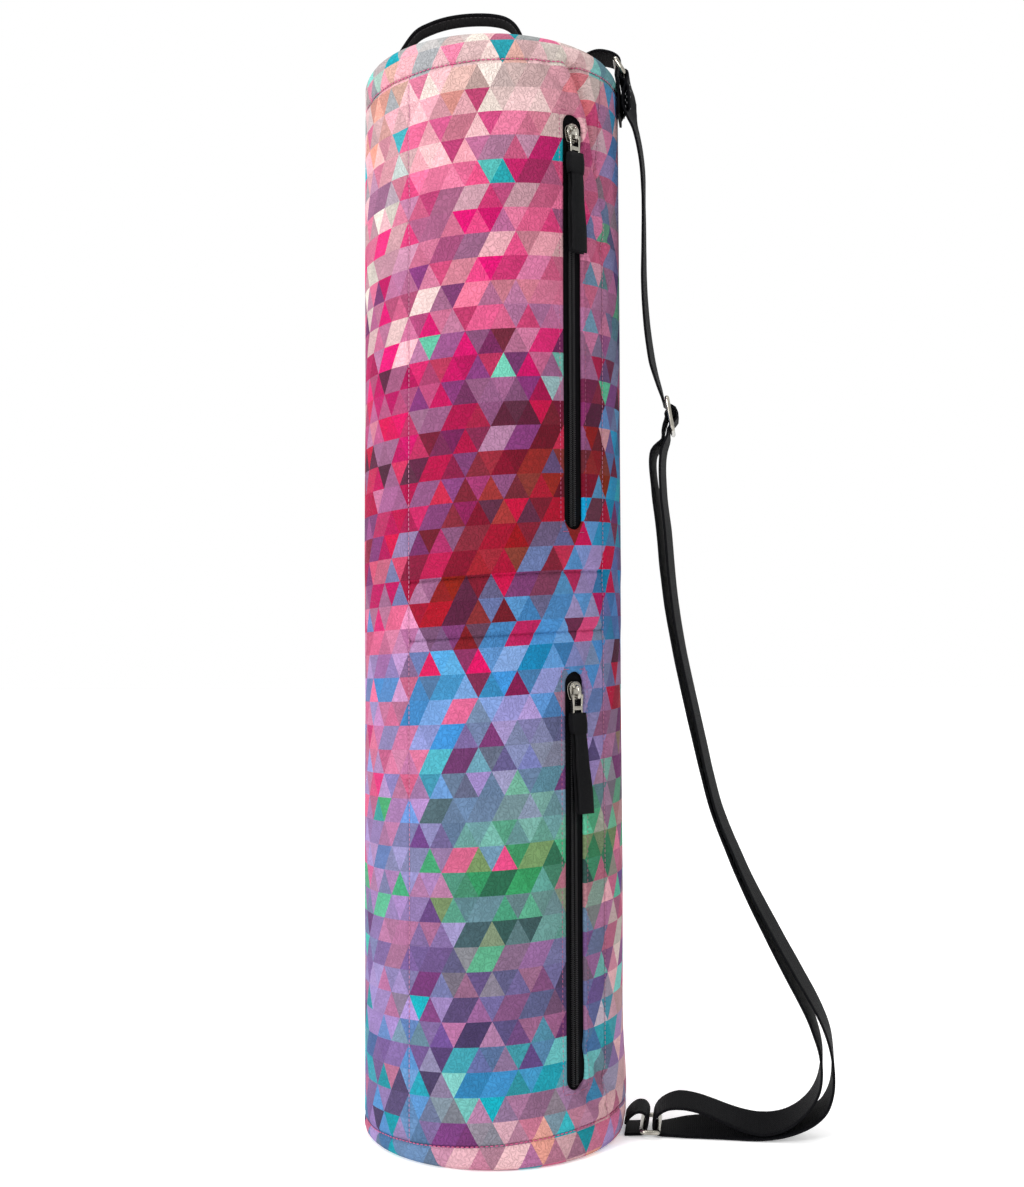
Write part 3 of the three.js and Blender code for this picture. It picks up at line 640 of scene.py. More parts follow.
def pastEdge(bm, layer, depth):
    # Turns the open edge of a cloth piece inwards, as a sewn edge does
    made = bmesh.ops.extrude_edge_only(bm, edges=[edge for edge in bm.edges if edge.is_boundary])
    for vert in grownVerts(made):
        vert.co -= Vector((vert.co.x, vert.co.y, 0)).normalized() * depth
    for face in [item for item in made["geom"] if isinstance(item, bmesh.types.BMFace)]:
        for loop in face.loops:
            others = [other for other in loop.vert.link_loops if other.face is not face]
            loop[layer].uv = others[0][layer].uv


def slotCentre():
    return math.radians(zipAzimuth) * bagRadius + zipAside


def slotMiddle(spot, slot):
    # The nearest point of the slot's middle line
    low, high = slots[slot]
    return Vector((slotCentre(), max(low + slotWidth / 2, min(high - slotWidth / 2, spot.y))))


def slotDistance(spot, slot):
    return (spot - slotMiddle(spot, slot)).length - slotWidth / 2


def cutSlot(bm, spots, slot):
    doomed = []
    for face in bm.faces:
        centre = sum((spots[vert] for vert in face.verts), Vector((0, 0))) / len(face.verts)
        if slotDistance(centre, slot) < 0:
            doomed.append(face)
    bmesh.ops.delete(bm, geom=doomed, context="FACES")
    for vert in bm.verts:
        if vert.is_boundary and abs(slotDistance(spots[vert], slot)) < 3 * mm:
            nearest = slotMiddle(spots[vert], slot)
            spots[vert] = nearest + (spots[vert] - nearest).normalized() * slotWidth / 2


def makePanel(name, left, right, low, high, step, slot=None):
    leftX, rightX = math.radians(left) * bagRadius, math.radians(right) * bagRadius
    columns = round(math.radians(right - left) * bagRadius / step)
    rows = round((high["height"] - low["height"]) / step)
    bm = bmesh.new()
    spots = {}
    for vert, across, up in sheet(bm, columns, rows):
        azimuth = left + (right - left) * across
        bottom = seamZ(low, azimuth)
        spots[vert] = Vector((math.radians(azimuth) * bagRadius, bottom + (seamZ(high, azimuth) - bottom) * up))
    if slot:
        cutSlot(bm, spots, slot)
    spots = {vert: spot for vert, spot in spots.items() if vert.is_valid}
    for vert, spot in spots.items():
        azimuth = wallAzimuth(spot.x)
        ends = min(spot.x - leftX, rightX - spot.x)
        rims = min(spot.y - seamZ(low, azimuth), seamZ(high, azimuth) - spot.y)
        side = sideGroove["deep"] * (1 if abs(azimuth - panelRight) < 8 else sideGroove["leftShare"])
        dip = max(side * bump(ends, sideGroove["wide"]), seamDip(rims))
        if slot:
            gap = slotDistance(spot, slot)
            dip += slotHem["groove"] * bump(gap - slotHem["grooveAt"], slotHem["grooveWide"])
            dip -= slotHem["roll"] * bump(gap - slotHem["rollAt"], slotHem["rollWide"])
        vert.co = wallPoint(azimuth, skinRadius(azimuth, spot.y) - dip, spot.y)
    pastEdge(bm, layPrint(bm, spots), clothWall)
    finishPiece(name, bm, cloth)


def makeBand(name, seam, roll, atTop):
    # A band of the wall that rolls over into the lid or the base
    sign = 1 if atTop else -1
    rollZ = bagHeight - roll if atTop else roll
    bm = bmesh.new()
    spots = {}
    for vert, across, share in sheet(bm, 240, 22):
        azimuth = -180 + 360 * across
        start = seamZ(seam, azimuth)
        straight = abs(rollZ - start)
        reached = share * (straight + roll * math.pi / 2)
        if reached <= straight:
            z = start + sign * reached
            radius = skinRadius(azimuth, z) - seamDip(reached)
        else:
            angle = (reached - straight) / roll
            z = rollZ + sign * roll * math.sin(angle)
            crinkle = 0.35 * mm * noise.noise(Vector((azimuth * 0.16, z * 60, 3))) * math.cos(angle)
            radius = bagRadius - roll + roll * math.cos(angle) - crinkle
        spots[vert] = Vector((math.radians(azimuth) * bagRadius, start + sign * reached))
        vert.co = wallPoint(azimuth, radius, z)
    layer = layPrint(bm, spots)
    bmesh.ops.remove_doubles(bm, verts=bm.verts, dist=0.00001)
    pastEdge(bm, layer, clothWall * 0.9)
    finishPiece(name, bm, cloth)


def makeDisc(name, radius, z, sag):
    bm = bmesh.new()
    spots = {}
    for vert, across, out in sheet(bm, 96, 16):
        reach = radius * max(0.002, out)
        place = wallPoint(360 * across, reach, 0)
        wave = noise.noise(place * 30) * abs(sag) * 0.5
        place.z = z - (sag + wave) * max(0.0, 1 - (reach / radius) ** 4)
        spots[vert] = Vector((place.x, place.y + z))
        vert.co = place
    layPrint(bm, spots)
    bmesh.ops.remove_doubles(bm, verts=bm.verts, dist=0.00001)
    finishPiece(name, bm, cloth)


# Routes of bands and wires

def between(points, step):
    # Centripetal curve through the chosen points, one station about every step
    stations = []
    last = len(points) - 2
    for i in range(last + 1):
        ends = [points[max(0, i - 1)], points[i], points[i + 1], points[min(last + 1, i + 2)]]
        a, b, c, d = [Vector((point["x"], point.get("shift", 0), point["z"])) for point in ends]
        if i == 0:
            a = 2 * b - c
        if i == last:
            d = 2 * c - b
        before, middle, after = [max((q - p).length ** 0.5, 1e-5) for p, q in ((a, b), (b, c), (c, d))]
        leave = ((b - a) / before - (c - a) / (before + middle) + (c - b) / middle) * middle
        arrive = ((c - b) / middle - (d - b) / (middle + after) + (d - c) / after) * middle
        parts = max(1, round((c - b).length / step))
        for k in range(parts + (i == last)):
            t = k / parts
            spot = (b * (2 * t ** 3 - 3 * t ** 2 + 1) + leave * (t ** 3 - 2 * t ** 2 + t)
                    + c * (3 * t ** 2 - 2 * t ** 3) + arrive * (t ** 3 - t ** 2))
            values = {
                key: points[i].get(key, usual) * (1 - t) + points[i + 1].get(key, usual) * t
                for key, usual in (("tilt", 0), ("width", 1))
            }
            stations.append((spot, values))
    return stations


def neighbours(items, i):
    return items[max(0, i - 1)], items[min(len(items) - 1, i + 1)]


def layBand(name, points, band, step, crown=0.0, ripple=0.0):
    # Webbing along a route in an upright plane that is turned about the bag's axis
    stations = between(points, step)
    last = len(stations) - 1
    lengths = [0.0]
    for (before, _), (after, _) in zip(stations, stations[1:]):
        lengths.append(lengths[-1] + (after - before).length)
    bm = bmesh.new()
    spots = {}
    turned = Matrix.Rotation(math.radians(band["turn"]), 3, "Z")
    for vert, across, up in sheet(bm, 8, last):
        share = 2 * across - 1
        i = round(up * last)
        spot, values = stations[i]
        before, after = neighbours(stations, i)
        along = after[0] - before[0]
        along.y = 0
        side = Vector((0, 1, 0))
        face = along.normalized().cross(side)
        tilt = math.radians(values["tilt"])
        wide = side * math.cos(tilt) + face * math.sin(tilt)
        thick = face * math.cos(tilt) - side * math.sin(tilt)
        half = band["width"] * values["width"] / 2
        wave = ripple * noise.noise(Vector((lengths[i] * 60, share * 0.7, 5)))
        vert.co = turned @ (spot + wide * (half * share) + thick * (crown * (1 - share * share) + wave))
        spots[vert] = Vector((half * share, lengths[i]))
    layUV(bm, spots)
    piece = finishPiece(name, bm, webbing)
    thicken(piece, band["thickness"])
    edge = piece.modifiers.new("edge", "BEVEL")
    edge.width = band["thickness"] * 0.32
    edge.segments = 2
    edge.limit_method = "ANGLE"
    edge.angle_limit = math.radians(50)


def layWire(name, loop, radius, material, replaced=None, move=None, bars=()):
    # Round wire along a closed loop of points, with straight bars across it
    sides = 12
    bm = bmesh.new()
    for points, isClosed in [(loop, True)] + [(bar, False) for bar in bars]:
        count = len(points) if isClosed else len(points) - 1
        for vert, across, up in sheet(bm, sides, count):
            i = round(up * count)
            if isClosed:
                here, before, after = points[i % count], points[(i - 1) % count], points[(i + 1) % count]
            else:
                here, (before, after) = points[i], neighbours(points, i)
            along = (after - before).normalized()
            out = along.cross(Vector((0, 0, 1))).normalized()
            angle = 2 * math.pi * across
            vert.co = here + (out * math.cos(angle) + out.cross(along) * math.sin(angle)) * radius
    bmesh.ops.remove_doubles(bm, verts=bm.verts, dist=0.000005)
    bmesh.ops.holes_fill(bm, edges=[edge for edge in bm.edges if edge.is_boundary], sides=sides)
    if move is not None:
        bmesh.ops.transform(bm, matrix=move, verts=bm.verts)
    finishPiece(name, bm, material, replaced=replaced)


def roundedLoop(depth, width, corner, parts=6):
    loop = []
    for u, v, start in ((1, 1, 0), (-1, 1, 90), (-1, -1, 180), (1, -1, 270)):
        for k in range(parts + 1):
            angle = math.radians(start + 90 * k / parts)
            loop.append(Vector((u * (depth / 2 - corner) + corner * math.cos(angle),
                                v * (width / 2 - corner) + corner * math.sin(angle), 0)))
    return loop


def repeatShape(places, sides, rings):
    # One small rounded shape, put down at every place
    single = bmesh.new()
    bmesh.ops.create_uvsphere(single, u_segments=sides, v_segments=rings, radius=1.0)
    pattern = bpy.data.meshes.new("pattern")
    single.to_mesh(pattern)
    single.free()
    bm = bmesh.new()
    for place in places:
        shape = pattern.copy()
        shape.transform(place)
        bm.from_mesh(shape)
        bpy.data.meshes.remove(shape)
    bpy.data.meshes.remove(pattern)
    return bm


def sewStitches(name, places, colour, length, radius):
    # Short rounded stitches: each place is a point, a direction and the surface's normal
    turned = []
    for point, along, out in places:
        across = along.cross(out).normalized() * radius
        size = Matrix((across, out.normalized() * radius * 0.7, along.normalized() * length / 2))
        turned.append(Matrix.Translation(point) @ size.transposed().to_4x4())
    finishPiece(name, repeatShape(turned, 6, 4), threads[colour], replaced=())


def stitchesAlong(points, pitch):
    # Places for stitches along a polyline on the bag's skin
    places = []
    carried = pitch / 2
    for start, end in zip(points, points[1:]):
        along = (end - start).normalized()
        length = (end - start).length
        while carried < length:
            point = start + along * carried
            places.append((point, along, Vector((point.x, point.y, 0)).normalized()))
            carried += pitch
        carried -= length
    return places


print("stage: camera and light")
placeCamera(cameraSetup)
lightStudio()

print("stage: materials")
cloth = printedCloth("printed_cloth", printLook)
webbing = wovenMaterial("black_webbing")
ribbonCloth = wovenMaterial("black_ribbon")
tapeCloth = wovenMaterial("black_zip_tape")
threads = {name: threadMaterial(f"{name}_thread", colour) for name, colour in threadColours.items()}
nickel = hardMaterial("nickel")
coilPlastic = hardMaterial("zip_coil_plastic")

print("stage: cloth")
fineStep = 1.5 * mm
coarseStep = 2.6 * mm
lidSag = 1.2 * mm
baseLift = 0.4 * mm
makePanel("upper_pocket_panel", panelLeft, panelRight, pocketSeamHigh, topSeam, fineStep, "upper")
makePanel("middle_panel", panelLeft, panelRight, pocketSeamLow, pocketSeamHigh, fineStep)
makePanel("lower_pocket_panel", panelLeft, panelRight, bottomSeam, pocketSeamLow, fineStep, "lower")
makePanel("back_panel", panelRight, panelLeft + 360, bottomSeam, topSeam, coarseStep)
makeBand("top_band", topSeam, shoulderRoll, True)
makeBand("bottom_band", bottomSeam, baseRoll, False)
makeDisc("lid", bagRadius - shoulderRoll, bagHeight, lidSag)
makeDisc("base", bagRadius - baseRoll, baseLift, 0.0)

print("stage: stitching")
stitch = {"pitch": 2.9 * mm, "length": 2.3 * mm, "radius": 0.22 * mm,
          "seamRadius": 0.34 * mm, "seamSink": 0.8 * mm, "sideSink": 0.12 * mm}
for name, seam in (("top_seam_thread", topSeam), ("bottom_seam_thread", bottomSeam)):
    line = skinLine([(a, seamZ(seam, a)) for a in range(-180, 181, 2)], stitch["seamSink"])
    sewStitches(name, stitchesAlong(line, stitch["pitch"]), "pink", stitch["length"], stitch["seamRadius"])
sides = []
for azimuth in (panelLeft, panelRight):
    heights = steps(seamZ(bottomSeam, azimuth), seamZ(topSeam, azimuth), 150)
    sides += stitchesAlong(skinLine([(azimuth, z) for z in heights], stitch["sideSink"]), stitch["pitch"])
sewStitches("side_thread", sides, "pale", stitch["length"], stitch["radius"])

slotStitch = {"aside": 2.4 * mm, "beyond": 1.3 * mm, "endPitch": 1.5 * mm, "length": 2.0 * mm}
reach = slotWidth / 2 + slotStitch["aside"]
around = []
for low, high in slots.values():
    for side in (-1, 1):
        azimuth = wallAzimuth(slotCentre() + side * reach)
        around += stitchesAlong(skinLine([(azimuth, z) for z in steps(low, high, 80)]), stitch["pitch"])
    for z in (high + slotStitch["beyond"], low - slotStitch["beyond"]):
        line = [(wallAzimuth(slotCentre() + 0.85 * reach * k / 8), z) for k in range(-8, 9)]
        around += stitchesAlong(skinLine(line), slotStitch["endPitch"])
sewStitches("zip_topstitch", around, "plum", slotStitch["length"], stitch["radius"])

binding = {"radius": 0.8 * mm, "out": 1.4 * mm, "height": 1.2 * mm}
edge = [wallPoint(a, bagRadius - baseRoll + binding["out"], binding["height"]) for a in range(0, 360, 4)]
layWire("base_binding", edge, binding["radius"], threads["pink"], replaced=())

print("stage: zips")
zipSizes = {"tapeWidth": 25 * mm, "tapeThickness": 0.8 * mm, "tapeGap": 0.9 * mm, "overlap": 9 * mm,
            "coilWidth": 5.4 * mm, "coilHeight": 2.2 * mm, "pitch": 1.25 * mm, "coilStart": 2 * mm,
            "drop": 6 * mm, "lift": 0.3 * mm, "pinOut": 5 * mm, "pinDown": 2.7 * mm}
slider = {"length": 11 * mm, "width": 9 * mm, "thickness": 3.5 * mm, "waist": 0.62}
pull = {"thickness": 1.1 * mm, "edge": 0.38 * mm, "pinch": 0.86,
        "columns": [-4.2, -2.5, 2.5, 4.2], "rows": [-14.4, -13.0, -8.9, -6.4, -0.6, 0.6]}
ribbon = {"bar": -13.7 * mm, "loop": 1.6 * mm, "length": 57 * mm, "width": 11.5 * mm, "thickness": 0.7 * mm,
          "cup": 0.35 * mm, "step": 1.5 * mm}
collar = {"depth": 4.6 * mm, "width": 11.6 * mm, "corner": 1.9 * mm, "below": 9.2 * mm, "tall": 12.4 * mm,
          "swell": 0.1, "thickness": 0.6 * mm}
ribbonLean = {"upper": 2, "lower": 5.5}
tapeFace = bagRadius - clothWall - zipSizes["tapeGap"]
sliderSeat = tapeFace + zipSizes["lift"]


def zipMatrix(x, z):
    return Matrix.Rotation(math.radians(zipAzimuth - 90), 4, "Z") @ Matrix.Translation((x, zipAside, z))


def makeTape(name, low, high):
    inset = clothWall + zipSizes["tapeGap"] + zipSizes["tapeThickness"] / 2
    bm = bmesh.new()
    spots = {}
    for vert, across, up in sheet(bm, 16, round((high - low) / (4 * mm))):
        x = (across - 0.5) * zipSizes["tapeWidth"]
        z = low + (high - low) * up
        azimuth = wallAzimuth(slotCentre() + x)
        spots[vert] = Vector((x, z))
        vert.co = wallPoint(azimuth, skinRadius(azimuth, z) - inset, z)
    layUV(bm, spots)
    thicken(finishPiece(name, bm, tapeCloth), zipSizes["tapeThickness"])


def makeCoil(name, low, high):
    # Closed coil: two rows of slanted loops
    pitch, width, height = zipSizes["pitch"], zipSizes["coilWidth"], zipSizes["coilHeight"]
    size = Matrix.Diagonal((height * 0.45, width * 0.235, pitch * 0.36, 1))
    places = []
    for k in range(round((high - low) / pitch)):
        for side in (-1, 1):
            lean = Matrix.Rotation(math.radians(side * 14), 4, "X")
            aside = Matrix.Translation((0, side * width * 0.25, 0))
            z = low + (k + 0.5 + side * 0.25) * pitch
            places.append(zipMatrix(sliderSeat + height * 0.42, z) @ aside @ lean @ size)
    finishPiece(name, repeatShape(places, 8, 5), coilPlastic)


def plate(bm, widthAt, low, high, rows, columns, nearX, farX, edge):
    # A flat metal plate whose width changes along its length
    verts = []
    for vert, across, up in sheet(bm, columns, rows):
        z = low + (high - low) * up
        vert.co = Vector((nearX, (across - 0.5) * widthAt(z), z))
        verts.append(vert)
    faces = list({face for vert in verts for face in vert.link_faces})
    grown = grownVerts(bmesh.ops.extrude_face_region(bm, geom=faces))
    bmesh.ops.translate(bm, vec=(farX - nearX, 0, 0), verts=grown)
    bmesh.ops.recalc_face_normals(bm, faces=bm.faces)
    rim = [edge for edge in sharpEdges(bm, 50) if all(vert in grown for vert in edge.verts)]
    bmesh.ops.bevel(bm, geom=rim, offset=edge, segments=2, profile=0.5, affect="EDGES", material=-1)


def sharpEdges(bm, degrees):
    return [edge for edge in bm.edges if edge.is_manifold and edge.calc_face_angle(0) > math.radians(degrees)]


def sliderWidthAt(z):
    waist = slider["waist"]
    share = (z + slider["length"] / 2) / slider["length"]
    if share < waist:
        return slider["width"] * (0.6 + 0.4 * math.sin(min(1, share / waist) * math.pi / 2))
    return slider["width"] * max(0.3, math.sqrt(max(0.0, 1 - ((share - waist) / 0.4) ** 2)))


def makeSlider(name, z):
    half = slider["length"] / 2
    thick = slider["thickness"]
    bm = bmesh.new()
    plate(bm, sliderWidthAt, -half, half, 14, 6, 0, 1.1 * mm, 0.3 * mm)
    plate(bm, lambda at: sliderWidthAt(at) * 0.62, -half + 0.6 * mm, half - 0.8 * mm, 12, 4,
          1.0 * mm, thick - 1.0 * mm, 0.1 * mm)
    plate(bm, lambda at: sliderWidthAt(at) * 0.96, -half + 0.2 * mm, half, 14, 6,
          thick - 1.1 * mm, thick, 0.35 * mm)
    # The bridge that the pull swings on: a strip over the face with a knob at its head. Heights
    # over the face and places along it, in mm
    arch = [(-0.3, -4.2), (2.6, -4.5), (3.6, -3.1), (3.6, 0.4), (2.2, 2.4), (-0.3, 3.4)]
    points = [{"x": thick + up * mm, "z": at * mm} for up, at in arch]
    stations = [spot for spot, _ in between(points, 0.5 * mm)]
    for vert, across, up in sheet(bm, 10, len(stations) - 1):
        i = round(up * (len(stations) - 1))
        before, after = neighbours(stations, i)
        along = (after - before).normalized()
        angle = 2 * math.pi * across
        out = Vector((-along.z, 0, along.x)) * 0.58 * mm
        vert.co = stations[i] + out * math.cos(angle) + Vector((0, 1.15 * mm, 0)) * math.sin(angle)
    knob = bmesh.ops.create_uvsphere(bm, u_segments=16, v_segments=10, radius=1.0)
    size = Matrix.Diagonal((1.0 * mm, 2.6 * mm, 2.2 * mm, 1))
    bmesh.ops.transform(bm, matrix=Matrix.Translation((thick, 0, 3.0 * mm)) @ size, verts=knob["verts"])
    bmesh.ops.remove_doubles(bm, verts=bm.verts, dist=0.000004)
    bmesh.ops.transform(bm, matrix=zipMatrix(sliderSeat, z), verts=bm.verts)
    finishPiece(name, bm, nickel)


def makePull(name, pin, body):
    # A flat tab with a window for the bridge and an eye for the ribbon
    bm = bmesh.new()
    cells = {vert: (round(across * 3), round(up * 5)) for vert, across, up in sheet(bm, 3, 5)}
    openings = [{(i, j) for i in (1, 2) for j in (low, low + 1)} for low in (1, 3)]
    windows = [face for face in bm.faces if {cells[vert] for vert in face.verts} in openings]
    bmesh.ops.delete(bm, geom=windows, context="FACES")
    for vert, (i, j) in cells.items():
        pinch = pull["pinch"] if j in (2, 3) and i in (0, 3) else 1
        vert.co = Vector((-0.5 * mm, pull["columns"][i] * mm * pinch, pull["rows"][j] * mm))
    grown = grownVerts(bmesh.ops.extrude_face_region(bm, geom=list(bm.faces)))
    bmesh.ops.translate(bm, vec=(pull["thickness"], 0, 0), verts=grown)
    bmesh.ops.recalc_face_normals(bm, faces=bm.faces)
    bmesh.ops.bevel(bm, geom=sharpEdges(bm, 40), offset=pull["edge"], segments=3, profile=0.5, affect="EDGES",
                    material=-1)
    bmesh.ops.transform(bm, matrix=pin, verts=bm.verts)
    finishPiece(name, bm, nickel, body)


def leaning(z, lean):
    return max(0, ribbon["bar"] - z) * math.tan(math.radians(lean))


def makeRibbon(name, pin, lean, body):
    bar, loop = ribbon["bar"], ribbon["loop"]
    ends = bar - ribbon["length"]
    rows = [ends, ends + 14 * mm, ends + 30 * mm, ends + 42 * mm, bar - 3 * mm]
    wave = [0, 0.5 * mm, 0.1 * mm, 0.6 * mm, 0]
    flare = [1, 0.96, 0.86, 0.76, 0.7]
    points = [{"x": -loop, "z": z, "width": wide} for z, wide in zip(rows, flare)]
    for k in range(7):
        angle = math.radians(k * 30)
        points.append({"x": -loop * math.cos(angle), "z": bar + loop * math.sin(angle), "width": 0.5})
    for z, out, wide in zip(reversed(rows), wave, reversed(flare)):
        points.append({"x": loop + out, "z": z, "width": wide})
    for point in points:
        point["shift"] = leaning(point["z"], lean)
    stations = between(points, ribbon["step"])
    bm = bmesh.new()
    spots = {}
    for vert, across, up in sheet(bm, 6, len(stations) - 1):
        i = round(up * (len(stations) - 1))
        spot, values = stations[i]
        half = ribbon["width"] / 2 * values["width"]
        share = 2 * across - 1
        cup = ribbon["cup"] * share * share if spot.x > 0 else 0
        spots[vert] = Vector((half * share, i * ribbon["step"]))
        vert.co = spot + Vector((-cup, half * share, 0))
    layUV(bm, spots)
    bmesh.ops.transform(bm, matrix=pin, verts=bm.verts)
    thicken(finishPiece(name, bm, ribbonCloth, body), ribbon["thickness"])


def makeCollar(name, pin, lean, body):
    # The collar that holds both layers of the ribbon together under the tab
    outline = roundedLoop(collar["depth"], collar["width"], collar["corner"], 4)
    bm = bmesh.new()
    spots = {}
    for vert, across, up in sheet(bm, len(outline), 4):
        i = round(across * len(outline)) % len(outline)
        z = ribbon["bar"] - collar["below"] + collar["tall"] * up
        swell = 1 + collar["swell"] * math.sin(up * math.pi)
        spots[vert] = Vector((i * 1.2 * mm, z))
        vert.co = Vector((outline[i].x * swell, outline[i].y * swell + leaning(z, lean), z))
    layUV(bm, spots)
    bmesh.ops.remove_doubles(bm, verts=bm.verts, dist=0.000004)
    bmesh.ops.transform(bm, matrix=pin, verts=bm.verts)
    piece = finishPiece(name, bm, ribbonCloth, body, replaced=())
    thicken(piece, collar["thickness"], -1)


for prefix, (low, high) in slots.items():
    lean, body = ribbonLean[prefix], f"{prefix}_pull"
    makeTape(f"{prefix}_zip_tape", low - zipSizes["overlap"], high + zipSizes["overlap"])
    sliderFoot = high - zipSizes["drop"] - slider["length"]
    makeCoil(f"{prefix}_zip_coil", low + zipSizes["coilStart"], sliderFoot - zipSizes["lift"])
    middle = sliderFoot + slider["length"] / 2
    makeSlider(f"{prefix}_zip_slider", middle)
    pin = zipMatrix(sliderSeat + zipSizes["pinOut"], middle - zipSizes["pinDown"])
    makePull(f"{prefix}_zip_pull", pin, body)
    makeRibbon(f"{prefix}_pull_ribbon", pin, lean, body)
    makeCollar(f"{prefix}_ribbon_collar", pin, lean, body)

print("stage: webbing")
strap = {"turn": -8, "width": 25 * mm, "thickness": 1.6 * mm, "wire": 1.5 * mm}
handle = {"turn": 0, "width": 16 * mm, "thickness": 2.2 * mm, "rise": 40.6 * mm}
play = 0.3 * mm
lift = play + strap["thickness"] / 2
loopRadius = strap["wire"] + lift
onWall = bagRadius + lift
glide = {"x": bagRadius * 1.3915, "z": bagHeight * 0.6692, "lean": 9.5, "height": 23.4 * mm, "width": 32 * mm}
ring = {"depth": 10.4 * mm, "width": 32 * mm, "corner": 2.4 * mm}
upperBar = {"x": bagRadius - 0.7 * mm, "z": bagHeight + 5 * mm}
strapBar = {"x": bagRadius + 4.6 * mm, "z": bagHeight - 3.9 * mm}
ringLeft = {"x": bagRadius + 12 * mm, "z": 4.5 * mm}
ringRight = {"x": ringLeft["x"] + ring["depth"], "z": ringLeft["z"]}


def shares(*rows):
    # Places as shares of the bag's radius and height, and the webbing's twist in degrees
    return [{"x": out * bagRadius, "z": up * bagHeight, "tilt": sum(tilt)} for out, up, *tilt in rows]


def beside(x, z, *rows):
    # Places in mm from a point of the strap's plane, and the twist
    return [{"x": x + right * mm, "z": z + up * mm, "tilt": sum(tilt)} for right, up, *tilt in rows]


def arc(x, z, start, end, count):
    angles = [math.radians(a) for a in steps(start, end, count - 1)]
    return [{"x": x + loopRadius * math.cos(a), "z": z + loopRadius * math.sin(a)} for a in angles]


def atGlide(places):
    # Places drawn about an upright adjuster, leaned with the real one
    lean = math.radians(glide["lean"])
    return [{
        "x": glide["x"] + place["x"] * math.cos(lean) - place["z"] * math.sin(lean),
        "z": glide["z"] + place["x"] * math.sin(lean) + place["z"] * math.cos(lean),
        "tilt": place.get("tilt", 0),
    } for place in places]


# The doubled run, as in the frame: heights, distances from the axis, gaps in mm and tilts
doubledRun = [
    (0.6345, 1.3018, 6, 6), (0.599, 1.3042, 5, 7), (0.5619, 1.3382, 4.6, 8), (0.5234, 1.3636, 4.4, 8),
    (0.4863, 1.3988, 4, 8), (0.4477, 1.4509, 3.6, 8), (0.4107, 1.5127, 3.6, 8), (0.3736, 1.5794, 3.4, 8.5),
    (0.3351, 1.6485, 2.8, 9), (0.298, 1.7285, 2.5, 9.5), (0.2624, 1.8412, 2.7, 10), (0.2254, 1.9733, 3.2, 11),
    (0.1883, 2.1261, 4, 12), (0.1527, 2.2788, 5, 12), (0.1171, 2.4315, 6.2, 10),
]


def doubledLayer(sign):
    places = [(out * bagRadius, up * bagHeight) for up, out, _, _ in doubledRun]
    layer = []
    for i, (x, z) in enumerate(places):
        before, after = neighbours(places, i)
        run = math.hypot(after[0] - before[0], after[1] - before[1])
        gap, tilt = doubledRun[i][2:]
        half = sign * gap * mm / 2 / run
        layer.append({"x": x + half * (before[1] - after[1]), "z": z + half * (after[0] - before[0]),
                      "tilt": sign * tilt})
    return layer


sewnEnd = beside(*strapBar.values(), (0.2, -22.6, 18), (0, -14.6, 17), (0.2, -8.2, 12), (-0.2, -4.4, 4))
ringRun = beside(*strapBar.values(), (3.1, -5.1, 8), (2.7, -11.6, 17), (2.8, -19.2, 18), (4.4, -26.2, 13),
                 (7.2, -34.6, 8))
strapRoute = [
    *sewnEnd,
    *arc(*strapBar.values(), 205, 0, 8),
    *ringRun,
    *shares((1.1842, 0.9148, 4), (1.1976, 0.8762), (1.1976, 0.8302, 2), (1.1988, 0.7911, 4),
            (1.2218, 0.7526, 6), (1.2606, 0.719, 7)),
    *atGlide(beside(0, 0, (-3.6, 20, 5), (-2.8, 12.5, 2), (-2.4, 9), (0.6, 5.9), (3.9, 3.2), (4.7, 0),
                    (3.9, -3.2), (0.6, -5.9), (-2.4, -9), (-3.4, -13, 2))),
    *doubledLayer(1),
    # Down to the floor and in to the lower ring
    *shares((2.5333, 0.0986, 8), (2.5648, 0.0801, 5), (2.5733, 0.0608, 3), (2.5576, 0.0445, 1),
            (2.503, 0.0297, -3), (2.4121, 0.02, -7), (2.303, 0.0135, -10), (2.1818, 0.0093, -13),
            (2.0242, 0.0067, -15), (1.8182, 0.0065, -15), (1.6364, 0.0065, -15), (1.4788, 0.0053, -11),
            (1.3697, 0.0039, -5)),
    {"x": ringRight["x"], "z": ringRight["z"] - loopRadius},
    *beside(ringRight["x"], 0, (-2.4, 2.8), (-3.2, 5.6), (-2.9, 10), (-0.1, 14.6, 2), (4.9, 18, 4)),
    # Back out over it and up again
    *shares((1.423, 0.0295, 8), (1.5442, 0.028, 8), (1.6533, 0.0243, 8), (1.7818, 0.0185, 10),
            (1.9152, 0.0133, 13), (2.0606, 0.0111, 15), (2.2061, 0.0154, 10), (2.3152, 0.0237, 5),
            (2.4, 0.0341, 2), (2.4606, 0.0474), (2.4861, 0.063, -3), (2.4824, 0.0801, -6),
            (2.4461, 0.0986, -9)),
    *reversed(doubledLayer(-1)),
    *atGlide(beside(0, 0, (-6.6, -15, -3), (-6.2, -10), (-4.6, -5.6))),
    *atGlide(arc(0, 0, 205, -80, 9)),
    *atGlide(beside(0, 0, (-1.2, -4.4))),
]
layBand("shoulder_strap", strapRoute, strap, 2.6 * mm, ripple=0.15 * mm)

